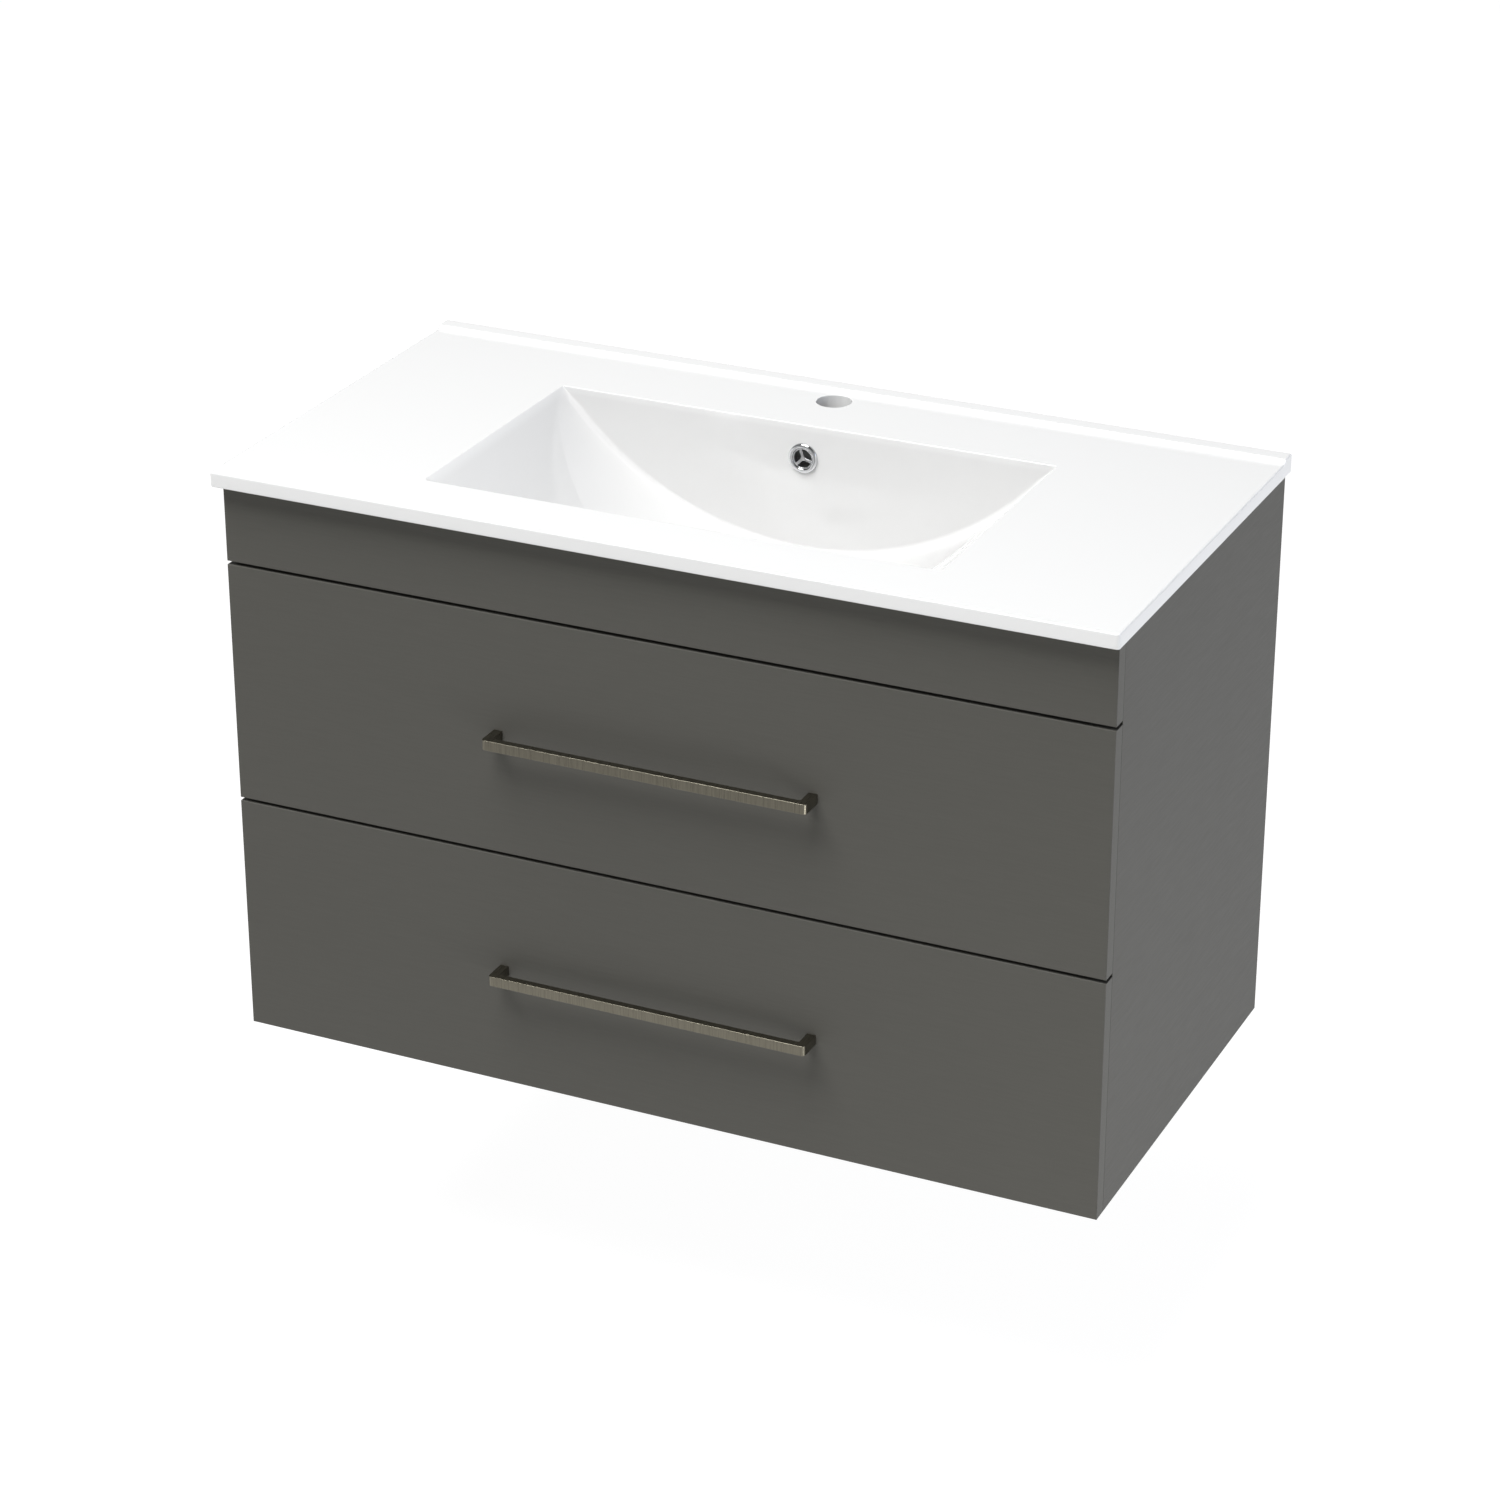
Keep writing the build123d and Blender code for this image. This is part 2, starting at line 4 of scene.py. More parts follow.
import bmesh
import bpy
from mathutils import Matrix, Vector


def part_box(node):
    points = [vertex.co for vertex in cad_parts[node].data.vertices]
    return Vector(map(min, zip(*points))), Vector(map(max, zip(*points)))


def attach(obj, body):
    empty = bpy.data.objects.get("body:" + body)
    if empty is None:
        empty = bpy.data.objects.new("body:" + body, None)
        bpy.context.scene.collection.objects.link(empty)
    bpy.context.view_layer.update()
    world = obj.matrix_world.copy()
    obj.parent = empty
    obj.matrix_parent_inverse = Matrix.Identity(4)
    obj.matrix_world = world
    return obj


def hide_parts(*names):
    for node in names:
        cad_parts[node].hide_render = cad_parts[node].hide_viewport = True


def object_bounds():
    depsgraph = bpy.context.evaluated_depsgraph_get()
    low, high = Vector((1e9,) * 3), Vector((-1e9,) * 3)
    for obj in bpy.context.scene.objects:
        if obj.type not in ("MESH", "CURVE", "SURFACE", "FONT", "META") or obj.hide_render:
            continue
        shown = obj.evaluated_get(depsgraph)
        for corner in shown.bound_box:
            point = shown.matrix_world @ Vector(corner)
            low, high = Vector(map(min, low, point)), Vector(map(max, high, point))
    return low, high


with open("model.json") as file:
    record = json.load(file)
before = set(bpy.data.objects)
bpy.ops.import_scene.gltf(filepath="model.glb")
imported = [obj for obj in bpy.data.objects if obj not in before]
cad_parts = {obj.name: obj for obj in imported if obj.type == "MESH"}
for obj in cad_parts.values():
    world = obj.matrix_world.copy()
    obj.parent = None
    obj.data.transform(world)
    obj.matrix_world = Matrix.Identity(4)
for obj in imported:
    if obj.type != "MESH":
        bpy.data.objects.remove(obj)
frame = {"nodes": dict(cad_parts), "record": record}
cad_low, cad_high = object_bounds()
nodes = frame["nodes"]
body_of_node = {
    name: body for body, names in frame["record"]["behaviour"]["bodies"].items() for name in names
}
slot_of_node = {name: node.data.materials[0].name for name, node in nodes.items()}
MM = 0.001
MERGE = 0.0005               # millimetres; vertices nearer than this are one
SHARP = math.radians(38)     # edges that bend more than this are shaded sharp
TURNED = 32                  # points round a screw or a dowel

# ---- sizes in millimetres that the looks need beyond the CAD boxes
BOWL_HALF = 259.0            # half the bowl's opening across
BOWL_BACK = -114.0           # face of the bowl's vertical back wall
BOWL_FRONT = -394.0          # front rim of the bowl
BOWL_DEPTH = 130.0
BOWL_CORNER = 6.0            # plan radius of the opening's front corners
PLAN_CENTRE = -2.0           # on this line the crease of the bowl has its centre
CREASE_RADIUS = 287.0        # plan radius of the crease between floor and front wall
CREASE_CLEAR = 8.0           # least run of front wall beyond the crease
SLAB_THICKNESS = 15.0
SLAB_EDGE = 1.8              # rounding of the slab's upper edge
UNDER_EDGE = 1.2             # rounding of its lower edge
SLAB_CORNER = 3.6            # plan radius of its front corners
UPSTAND_FOOT = -21.2         # where the deck starts to rise to the upstand
UPSTAND_RUN = 5.4
UPSTAND_EDGE = 1.3
SHELL = 9.0                  # thickness of the bowl's wall
TAP_Y, TAP_RADIUS = -42.4, 17.5
WASTE_Y, WASTE_RADIUS, BOSS_RADIUS = -218.0, 22.5, 33.5
OVERFLOW_RADIUS = 12.0
TRIM_PLAY = 0.1              # round the overflow trim, and round the grille in it
DUCT_HALF = 25.0


def lerp(a, b, t):
    return a + (b - a) * t


def steps(a, b, count, ends=True):
    """count values from a to b; without ends, only the ones between them."""
    if ends:
        return [lerp(a, b, i / (count - 1)) for i in range(count)]
    return [lerp(a, b, (i + 1) / (count + 1)) for i in range(count)]


def curve(a, b, c, t):
    """A quadratic curve from a to c that heads for b."""
    return (1 - t) ** 2 * a + 2 * t * (1 - t) * b + t * t * c


def box_mm(node):
    low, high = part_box(node)
    return low / MM, high / MM


# ---- planes and sizes read from the CAD boxes
slab_low, slab_high = box_mm("basin_top")
SLAB_HALF = slab_high.x
SLAB_FRONT = slab_low.y
UNDER_Z = box_mm("side_panel_left")[1].z
RIM_Z = UNDER_Z + SLAB_THICKNESS
UPSTAND = slab_high.z - RIM_Z
BOSS_Z = slab_low.z
ARC_RADIUS = (BOWL_HALF**2 + BOWL_DEPTH**2) / (2 * BOWL_DEPTH)
ARC_CENTRE = RIM_Z - BOWL_DEPTH + ARC_RADIUS
OVERFLOW_Z = (box_mm("overflow_ring")[0].z + box_mm("overflow_ring")[1].z) / 2
FOOT = abs(BOWL_BACK - PLAN_CENTRE)


# ---- materials ------------------------------------------------------------------------


class Shader:
    """One procedural material, in the frame's own coordinates."""

    def __init__(self, name, **values):
        self.material = bpy.data.materials.new(name)
        self.material.use_nodes = True
        self.tree = self.material.node_tree
        self.surface = self.tree.nodes["Principled BSDF"]
        for key, value in values.items():
            self.surface.inputs[key.replace("_", " ")].default_value = value
        self.place = self.add("ShaderNodeTexCoord").outputs["Object"]

    def add(self, kind, **settings):
        node = self.tree.nodes.new(kind)
        for key, value in settings.items():
            setattr(node, key, value)
        return node

    def link(self, source, target):
        self.tree.links.new(source, target)

    def scaled(self, x, y, z):
        """The frame's coordinates, stretched: larger numbers give finer detail."""
        mapping = self.add("ShaderNodeMapping")
        mapping.inputs["Scale"].default_value = (x, y, z)
        self.link(self.place, mapping.inputs["Vector"])
        return mapping.outputs["Vector"]

    def noise(self, vector, scale=1.0, detail=3.0, roughness=0.5):
        node = self.add("ShaderNodeTexNoise")
        node.inputs["Scale"].default_value = scale
        node.inputs["Detail"].default_value = detail
        node.inputs["Roughness"].default_value = roughness
        self.link(vector, node.inputs["Vector"])
        return node.outputs["Fac"]

    def math(self, operation, first, second, third=None):
        """A Math node; each value is a socket or a number."""
        node = self.add("ShaderNodeMath", operation=operation)
        for socket, value in zip(node.inputs, (first, second, third)):
            if isinstance(value, bpy.types.NodeSocket):
                self.link(value, socket)
            elif value is not None:
                socket.default_value = value
        return node.outputs[0]

    def vector_math(self, operation, first, second=None):
        node = self.add("ShaderNodeVectorMath", operation=operation)
        self.link(first, node.inputs[0])
        if second is not None:
            node.inputs[1].default_value = second
        return node.outputs[0]

    def parts(self, vector):
        node = self.add("ShaderNodeSeparateXYZ")
        self.link(vector, node.inputs["Vector"])
        return node.outputs

    def span(self, value, low, high, source=(0.0, 1.0)):
        node = self.add("ShaderNodeMapRange")
        for key, number in zip(("From Min", "From Max", "To Min", "To Max"), (*source, low, high)):
            node.inputs[key].default_value = number
        self.link(value, node.inputs["Value"])
        return node.outputs["Result"]

    def blend(self, value, first, second):
        """A colour between two, by value."""
        node = self.add("ShaderNodeMix", data_type="RGBA")
        node.inputs["A"].default_value = (*first, 1)
        node.inputs["B"].default_value = (*second, 1)
        self.link(value, node.inputs["Factor"])
        return node.outputs["Result"]

    def colour(self, source):
        self.link(source, self.surface.inputs["Base Color"])

    def roughness(self, source):
        self.link(source, self.surface.inputs["Roughness"])

    def bump(self, height, strength, distance):
        node = self.add("ShaderNodeBump")
        node.inputs["Strength"].default_value = strength
        node.inputs["Distance"].default_value = distance
        self.link(height, node.inputs["Height"])
        self.link(node.outputs["Normal"], self.surface.inputs["Normal"])


# the glaze down in the bowl, darkened there as painted shade, the glaze on the deck, and the grey
# that the three laminates tint
PAINTED_SHADE_IN_BOWL, ON_DECK = (0.655, 0.654, 0.65), (0.722, 0.722, 0.718)
GREY = (0.0850, 0.0830, 0.0745)


def tinted(colour, factor):
    return tuple(c * factor for c in colour)


def ceramic():
    s = Shader("glazed_ceramic", IOR=1.5, Coat_Weight=0.4, Coat_Roughness=0.02)
    cloud = s.noise(s.scaled(1, 1, 1), scale=9.0, detail=2.0)
    # 0 down in the bowl, where the glaze takes painted shade, and 1 on the deck and everywhere
    # outside the bowl's opening
    half = (BOWL_HALF + 2, (BOWL_BACK - BOWL_FRONT) / 2 + 2, 0)
    offset = s.vector_math("SUBTRACT", s.place, (0, (BOWL_BACK + BOWL_FRONT) / 2 * MM, 0))
    beyond = s.vector_math("SUBTRACT", s.vector_math("ABSOLUTE", offset), [v * MM for v in half])
    outside = s.parts(beyond)
    sides = s.math("MAXIMUM", outside["X"], outside["Y"])
    height = s.span(s.parts(s.place)["Z"], 0.0, 1.0, ((RIM_Z - 8) * MM, (RIM_Z - 0.5) * MM))
    upper = s.math("MAXIMUM", height, s.span(sides, 0.0, 1.0, (0.0, MM)))
    # painted shade: the glaze is made darker down in the bowl, standing in for the shade inside
    # it, and a cloud of random tone lies over it
    s.colour(s.blend(s.math("MULTIPLY_ADD", cloud, 0.06, upper), PAINTED_SHADE_IN_BOWL, ON_DECK))
    s.roughness(s.span(s.noise(s.scaled(1, 1, 1), scale=60.0), 0.09, 0.15))
    s.bump(s.noise(s.scaled(1, 1, 1), scale=35.0, detail=1.0), 0.05, 0.0004)
    return s.material


def laminate(name, colour, along):
    """Satin laminate: a soft, fine grain that runs along one axis, and a faint orange peel."""
    s = Shader(name, IOR=1.2)
    stretch = [110.0, 110.0, 110.0]
    stretch[along] = 5.0
    grain = s.noise(s.scaled(*stretch), scale=6.0, detail=4.0, roughness=0.6)
    patch = s.noise(s.scaled(1, 1, 1), scale=3.0, detail=2.0)
    mixed = s.math("MULTIPLY_ADD", grain, 0.75, s.span(patch, 0.0, 0.25))
    value = s.span(mixed, 0, 1, (0.3, 0.72))
    s.colour(s.blend(value, tinted(colour, 0.96), tinted(colour, 1.04)))
    s.roughness(s.span(grain, 0.40, 0.48, (0.3, 0.7)))
    s.bump(s.noise(s.scaled(1, 1, 1), scale=900.0, detail=2.0), 0.08, 0.0002)
    return s.material


def melamine():
    s = Shader("drawer_board", IOR=1.5)
    fibre = s.noise(s.scaled(9, 90, 90), scale=4.0, detail=4.0, roughness=0.55)
    pale = (0.60, 0.60, 0.585)
    s.colour(s.blend(s.span(fibre, 0, 1, (0.3, 0.7)), tinted(pale, 0.965), tinted(pale, 1.03)))
    s.roughness(s.span(fibre, 0.38, 0.5, (0.3, 0.7)))
    s.bump(s.noise(s.scaled(1, 1, 1), scale=1100.0, detail=2.0), 0.1, 0.0002)
    return s.material


def brushed(name, colour, stretch, rough, contrast=0.10, scratch=0.25):
    """Metal with brush lines that are short along the axes with the large stretch."""
    s = Shader(name, Metallic=1.0)
    lines = s.noise(s.scaled(*stretch), scale=1.0, detail=5.0, roughness=0.7)
    value = s.span(lines, 0, 1, (0.3, 0.7))
    s.colour(s.blend(value, tinted(colour, 1 - contrast), tinted(colour, 1 + contrast)))
    s.roughness(s.span(lines, rough * 0.8, rough * 1.25, (0.3, 0.7)))
    s.bump(lines, scratch, 0.00015)
    return s.material


def zinc(name, colour, rough):
    """Zinc plate: small crystals that differ a little in tone and gloss."""
    s = Shader(name, Metallic=1.0)
    cells = s.add("ShaderNodeTexVoronoi")
    cells.inputs["Scale"].default_value = 420.0
    s.link(s.place, cells.inputs["Vector"])
    fine = s.noise(s.scaled(1, 1, 1), scale=160.0, detail=3.0)
    s.colour(s.blend(s.span(fine, 0, 1, (0.3, 0.7)), tinted(colour, 0.92), tinted(colour, 1.05)))
    s.roughness(s.span(cells.outputs["Distance"], rough * 0.85, rough * 1.2))
    s.bump(fine, 0.05, 0.0002)
    return s.material


def chrome():
    s = Shader("trim_chrome", Metallic=1.0)
    film = s.noise(s.scaled(1, 1, 1), scale=120.0, detail=2.0)
    s.colour(s.blend(film, (0.47, 0.475, 0.485), (0.56, 0.565, 0.575)))
    s.roughness(s.span(film, 0.04, 0.10))
    return s.material


def steel_balls():
    s = Shader("ball_steel", Metallic=1.0)
    film = s.noise(s.scaled(1, 1, 1), scale=700.0, detail=2.0)
    s.colour(s.blend(film, (0.66, 0.66, 0.68), (0.80, 0.80, 0.82)))
    s.roughness(s.span(film, 0.10, 0.18))
    return s.material


def beech():
    s = Shader("dowel_wood", IOR=1.45)
    grain = s.noise(s.scaled(40, 400, 400), scale=1.0, detail=4.0, roughness=0.6)
    s.colour(s.blend(s.span(grain, 0, 1, (0.3, 0.7)), (0.50, 0.34, 0.19), (0.72, 0.55, 0.35)))
    s.roughness(s.span(grain, 0.5, 0.7))
    s.bump(grain, 0.2, 0.0003)
    return s.material


def silicone():
    s = Shader("sealant", IOR=1.41)
    smear = s.noise(s.scaled(60, 60, 200), scale=1.0, detail=2.0)
    s.colour(s.blend(smear, (0.76, 0.76, 0.74), (0.86, 0.86, 0.85)))
    s.roughness(s.span(smear, 0.25, 0.4))
    s.bump(smear, 0.2, 0.0004)
    return s.material


finishes = {
    "glazed_ceramic": ceramic(),
    "front_board": laminate("front_board", GREY, 0),
    # painted shade: the carcass boards are the fronts' grey, darkened to hold back the extra light
    # that falls on the cabinet's side
    "carcass_board": laminate("carcass_board", tinted(GREY, 0.9), 1),
    "rail_board": laminate("rail_board", tinted(GREY, 1.05), 0),
    "drawer_board": melamine(),
    "handle_metal": brushed("handle_metal", (0.180, 0.167, 0.132), (800, 60, 25), 0.30, 0.20),
    "runner_steel": zinc("runner_steel", (0.58, 0.59, 0.61), 0.3),
    "ball_steel": steel_balls(),
    "screw_steel": zinc("screw_steel", (0.55, 0.55, 0.56), 0.28),
    "dowel_wood": beech(),
    "trim_chrome": chrome(),
    "sealant": silicone(),
}


# ---- putting pieces into the scene ----------------------------------------------------


def put(name, bm, node_names):
    """Makes a piece from a bmesh in millimetres, which stands for these CAD nodes."""
    bmesh.ops.remove_doubles(bm, verts=bm.verts, dist=MERGE)
    bmesh.ops.recalc_face_normals(bm, faces=bm.faces)
    mesh = bpy.data.meshes.new(name)
    for vert in bm.verts:
        vert.co *= MM
    for face in bm.faces:
        face.smooth = True
    for bend in bm.edges:
        bend.smooth = bend.calc_face_angle(0) < SHARP
    bm.to_mesh(mesh)
    bm.free()
    piece = bpy.data.objects.new(name, mesh)
    bpy.context.scene.collection.objects.link(piece)
    slot = slot_of_node[node_names[0]]
    mesh.materials.append(finishes[slot])
    piece.modifiers.new("normals", "WEIGHTED_NORMAL").keep_sharp = True
    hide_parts(*node_names)
    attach(piece, body_of_node[node_names[0]])


def add_quads(bm, grid, skip=None, wrap=False):
    """Faces between the rows of a grid of vertices. skip lists blocks of vertices whose
    cells stay open, each as (first row, last row, first column, last column)."""
    for i in range(len(grid) - 1):
        row, following = grid[i], grid[i + 1]
        count = len(row) if wrap else len(row) - 1
        for j in range(count):
            if skip and any(a <= i < b and c <= j < d for a, b, c, d in skip):
                continue
            k = (j + 1) % len(row)
            corners = [row[j], row[k], following[k], following[j]]
            distinct = []
            for vert in corners:
                if all((vert.co - other.co).length > MERGE for other in distinct):
                    distinct.append(vert)
            if len(distinct) > 2:
                bm.faces.new(distinct)


def rim_of(grid, block):
    """The vertices round a block of the grid, in order."""
    a, b, c, d = block
    loop = [grid[a][j] for j in range(c, d)] + [grid[i][d] for i in range(a, b)]
    loop += [grid[b][j] for j in range(d, c, -1)] + [grid[i][c] for i in range(b, a, -1)]
    return loop


def rings_from(bm, loop, angle_of, place, profile):
    """Rings of vertices that lead from a loop to a round hole. profile lists (radius, drop);
    place turns (angle, radius, drop) into a point."""
    angles = [angle_of(v.co) for v in loop]
    rows = [loop]
    for radius, drop in profile:
        rows.append([bm.verts.new(place(angle, radius, drop)) for angle in angles])
    add_quads(bm, rows, wrap=True)
    return rows[-1]


def lip(radius, rounding, count=5):
    """Profile of a rounded edge that leads from a face down into a hole."""
    return [
        (radius + rounding * (1 - math.sin(t)), rounding * (1 - math.cos(t)))
        for t in steps(0, math.pi / 2, count)
    ]


# ---- the basin top --------------------------------------------------------------------

# rows of the upper side: round the back rim, down the wall as shares of its height that
# leave room for the overflow, round the wall's foot, and over the floor to the crease
BACK_RIM_ROWS = 6
WALL_PARTS = [0.05, 0.107, 0.18, 0.25, 0.32, 0.39, 0.44, 0.56, 0.68, 0.80, 0.91]
FOOT_ROWS = 7
FLOOR_ROWS = 26
FLOOR_FIRST = BACK_RIM_ROWS + len(WALL_PARTS) + FOOT_ROWS
# its last rows: over the deck, round the slab's edge, down its side and round underneath
DECK_ROWS, EDGE_ROWS, SIDE_ROWS, UNDER_ROWS = 3, 6, 3, 4
DECK_FIRST = -(DECK_ROWS + EDGE_ROWS + SIDE_ROWS + UNDER_ROWS)
# rows of the outside: down the front, round the crease, over the floor and up the back
SHELL_FRONT_ROWS, SHELL_CREASE_ROWS, SHELL_FLOOR_ROWS = 10, 3, 24
SHELL_WALL_PARTS = [0.12, 0.3, 0.5, 0.62, 0.70, 0.76, 0.83, 0.90, 0.96, 1.0]


def trough(x, grow=0.0):
    """Height of the bowl's arc, grown outward for the outside of its shell."""
    return ARC_CENTRE - math.sqrt(max((ARC_RADIUS + grow) ** 2 - x * x, 0.0))


def rounded_exit(angle, half, front, corner):
    """How far from the plan centre a ray leaves a rectangle with rounded front corners."""
    sx, cy = abs(math.sin(angle)), math.cos(angle)
    reach_side = half / sx if sx > 1e-9 else 1e9
    reach_front = (PLAN_CENTRE - front) / cy
    reach = min(reach_side, reach_front)
    x, y = reach * sx, reach * cy
    centre_x, centre_y = half - corner, (PLAN_CENTRE - front) - corner
    if x > centre_x and y > centre_y:
        along = centre_x * sx + centre_y * cy
        off = centre_x**2 + centre_y**2 - corner**2
        reach = along + math.sqrt(max(along**2 - off, 0.0))
    return reach


def fan_angles():
    """Directions of the fan of columns, closer together where an outline turns."""
    end = math.atan2(BOWL_HALF, FOOT)
    rim_turn = math.atan2(BOWL_HALF, PLAN_CENTRE - BOWL_FRONT)
    slab_turn = math.atan2(SLAB_HALF, PLAN_CENTRE - SLAB_FRONT)
    keys = [
        (0.0, 0), (rim_turn - 0.012, 24), (rim_turn + 0.012, 10), (slab_turn - 0.0045, 14),
        (slab_turn + 0.0045, 8), (end - 0.12, 22), (end - 0.02, 14), (end, 8),
    ]
    half = [0.0]
    for (a, _), (b, count) in zip(keys, keys[1:]):
        half += [lerp(a, b, (i + 1) / count) for i in range(count)]
    return [-a for a in reversed(half[1:])] + half


def bowl_column(angle):
    """One column of the basin's upper side, from the deck behind the bowl, down its back
    wall, along the floor, up the front and out to the slab's lower edge."""
    s, c = math.sin(angle), math.cos(angle)

    def on_ray(reach, z):
        return (reach * s, PLAN_CENTRE - reach * c, z)

    wall_x = FOOT * s / c
    depth = RIM_Z - trough(wall_x)
    edge = min(0.9, 0.3 * depth)
    foot = min(7.0, 0.3 * depth)
    column = []
    for t in steps(0, math.pi / 2, BACK_RIM_ROWS):
        y, z = BOWL_BACK + edge * (1 - math.sin(t)), RIM_Z - edge * (1 - math.cos(t))
        column.append((wall_x, y, z))
    low = trough(wall_x) + foot
    for part in WALL_PARTS:
        column.append((wall_x, BOWL_BACK, lerp(RIM_Z - edge, low, part)))
    for t in steps(0, math.pi / 2, FOOT_ROWS):
        reach = (FOOT + foot * (1 - math.cos(t))) / c
        column.append(on_ray(reach, trough(reach * s) + foot * (1 - math.sin(t))))

    rim = rounded_exit(angle, BOWL_HALF, BOWL_FRONT, BOWL_CORNER)
    from_corner = abs(PLAN_CENTRE - rim * c - BOWL_BACK)
    start = (FOOT + foot) / c
    creased = rim > CREASE_RADIUS + CREASE_CLEAR
    if creased:
        crease_z = trough(CREASE_RADIUS * s)
        slope = (RIM_Z - crease_z) / (rim - CREASE_RADIUS)

        def ramp(reach):
            return RIM_Z - slope * (rim - reach)
    else:
        crease_z, slope = None, abs(BOWL_HALF / (ARC_CENTRE - RIM_Z)) * abs(s)

        def ramp(reach):
            return trough(reach * s)
    edge_run = min(2.2 * math.tan(math.atan(slope) / 2), 0.3 * from_corner)
    ramp_end = rim - edge_run
    crease = CREASE_RADIUS if creased else lerp(start, ramp_end, 0.72)
    soft = 1.1 if creased else 0.0
    for reach in steps(start, crease - soft, FLOOR_ROWS, ends=False):
        column.append(on_ray(reach, trough(reach * s)))
    for t in steps(0, 1, 5):
        if creased:
            z = curve(trough((crease - soft) * s), crease_z, ramp(crease + soft), t)
            column.append(on_ray(lerp(crease - soft, crease + soft, t), z))
        else:
            reach = lerp(crease, lerp(crease, ramp_end, 0.2), t)
            column.append(on_ray(reach, ramp(reach)))
    last = crease + soft if creased else lerp(crease, ramp_end, 0.2)
    for reach in steps(last, ramp_end, 12, ends=False):
        column.append(on_ray(reach, ramp(reach)))
    for t in steps(0, 1, 7):
        reach = curve(ramp_end, rim, rim + edge_run, t)
        column.append(on_ray(reach, curve(ramp(ramp_end), RIM_Z, RIM_Z, t)))

    def slab_reach(inset):
        return rounded_exit(angle, SLAB_HALF - inset, SLAB_FRONT + inset, SLAB_CORNER - inset)

    for reach in steps(rim + edge_run, slab_reach(SLAB_EDGE), DECK_ROWS, ends=False):
        column.append(on_ray(reach, RIM_Z))
    for t in steps(0, math.pi / 2, EDGE_ROWS):
        reach = slab_reach(SLAB_EDGE * (1 - math.sin(t)))
        column.append(on_ray(reach, RIM_Z - SLAB_EDGE * (1 - math.cos(t))))
    for z in steps(RIM_Z - SLAB_EDGE, UNDER_Z + UNDER_EDGE, SIDE_ROWS, ends=False):
        column.append(on_ray(slab_reach(0), z))
    for t in steps(0, math.pi / 2, UNDER_ROWS):
        reach = slab_reach(UNDER_EDGE * (1 - math.cos(t)))
        column.append(on_ray(reach, UNDER_Z + UNDER_EDGE * (1 - math.sin(t))))
    return column


def shell_column(angle):
    """One column of the bowl's outside, from the slab's underside in front to the back."""
    s, c = math.sin(angle), math.cos(angle)
    rim = rounded_exit(angle, BOWL_HALF, BOWL_FRONT, BOWL_CORNER)
    back = (FOOT - SHELL) / c
    slope = 0.0
    if rim > CREASE_RADIUS + CREASE_CLEAR:
        slope = (RIM_Z - trough(CREASE_RADIUS * s)) / (rim - CREASE_RADIUS)

    def height(reach):
        z = trough(reach * s, SHELL)
        if slope:
            z = max(z, RIM_Z - slope * (rim - reach) - SHELL * math.hypot(1, slope))
        return min(z, UNDER_Z)

    # halves the interval until it holds the point where the shell meets the slab
    low, high = back, rim + 20
    for _ in range(40):
        middle = (low + high) / 2
        if height(middle) < UNDER_Z - 1e-4:
            low = middle
        else:
            high = middle
    outer = low
    knee = min(CREASE_RADIUS, lerp(back, outer, 0.85))
    reaches = steps(outer, knee + 4, SHELL_FRONT_ROWS)
    reaches += steps(knee + 2, knee - 2, SHELL_CREASE_ROWS)
    reaches += steps(knee - 5, back, SHELL_FLOOR_ROWS)
    if outer < knee + 4:
        reaches = steps(outer, back, len(reaches))
    heights = [UNDER_Z] + [height(reach) for reach in reaches[1:]]
    column = [(r * s, PLAN_CENTRE - r * c, z) for r, z in zip(reaches, heights)]
    x, y, z = column[-1]
    for part in SHELL_WALL_PARTS:
        column.append((x, y, lerp(z, UNDER_Z, part)))
    return column


def nearest(values, target):
    return min(range(len(values)), key=lambda i: abs(values[i] - target))


def around(values, centre, reach):
    """Indices of the values next outside centre - reach and centre + reach."""
    inside = [i for i, value in enumerate(values) if abs(value - centre) < reach]
    return inside[0] - 1, inside[-1] + 1


def grid_of(bm, columns):
    """Rows of new vertices from columns of points."""
    made = [[bm.verts.new(point) for point in column] for column in columns]
    return [list(row) for row in zip(*made)]


def join(bm, first, second):
    """Closes the gap between two rings of vertices."""
    edges = [
        bm.edges.get(pair) for ring in (first, second) for pair in zip(ring, ring[1:] + ring[:1])
    ]
    bmesh.ops.bridge_loops(bm, edges=[edge for edge in edges if edge])


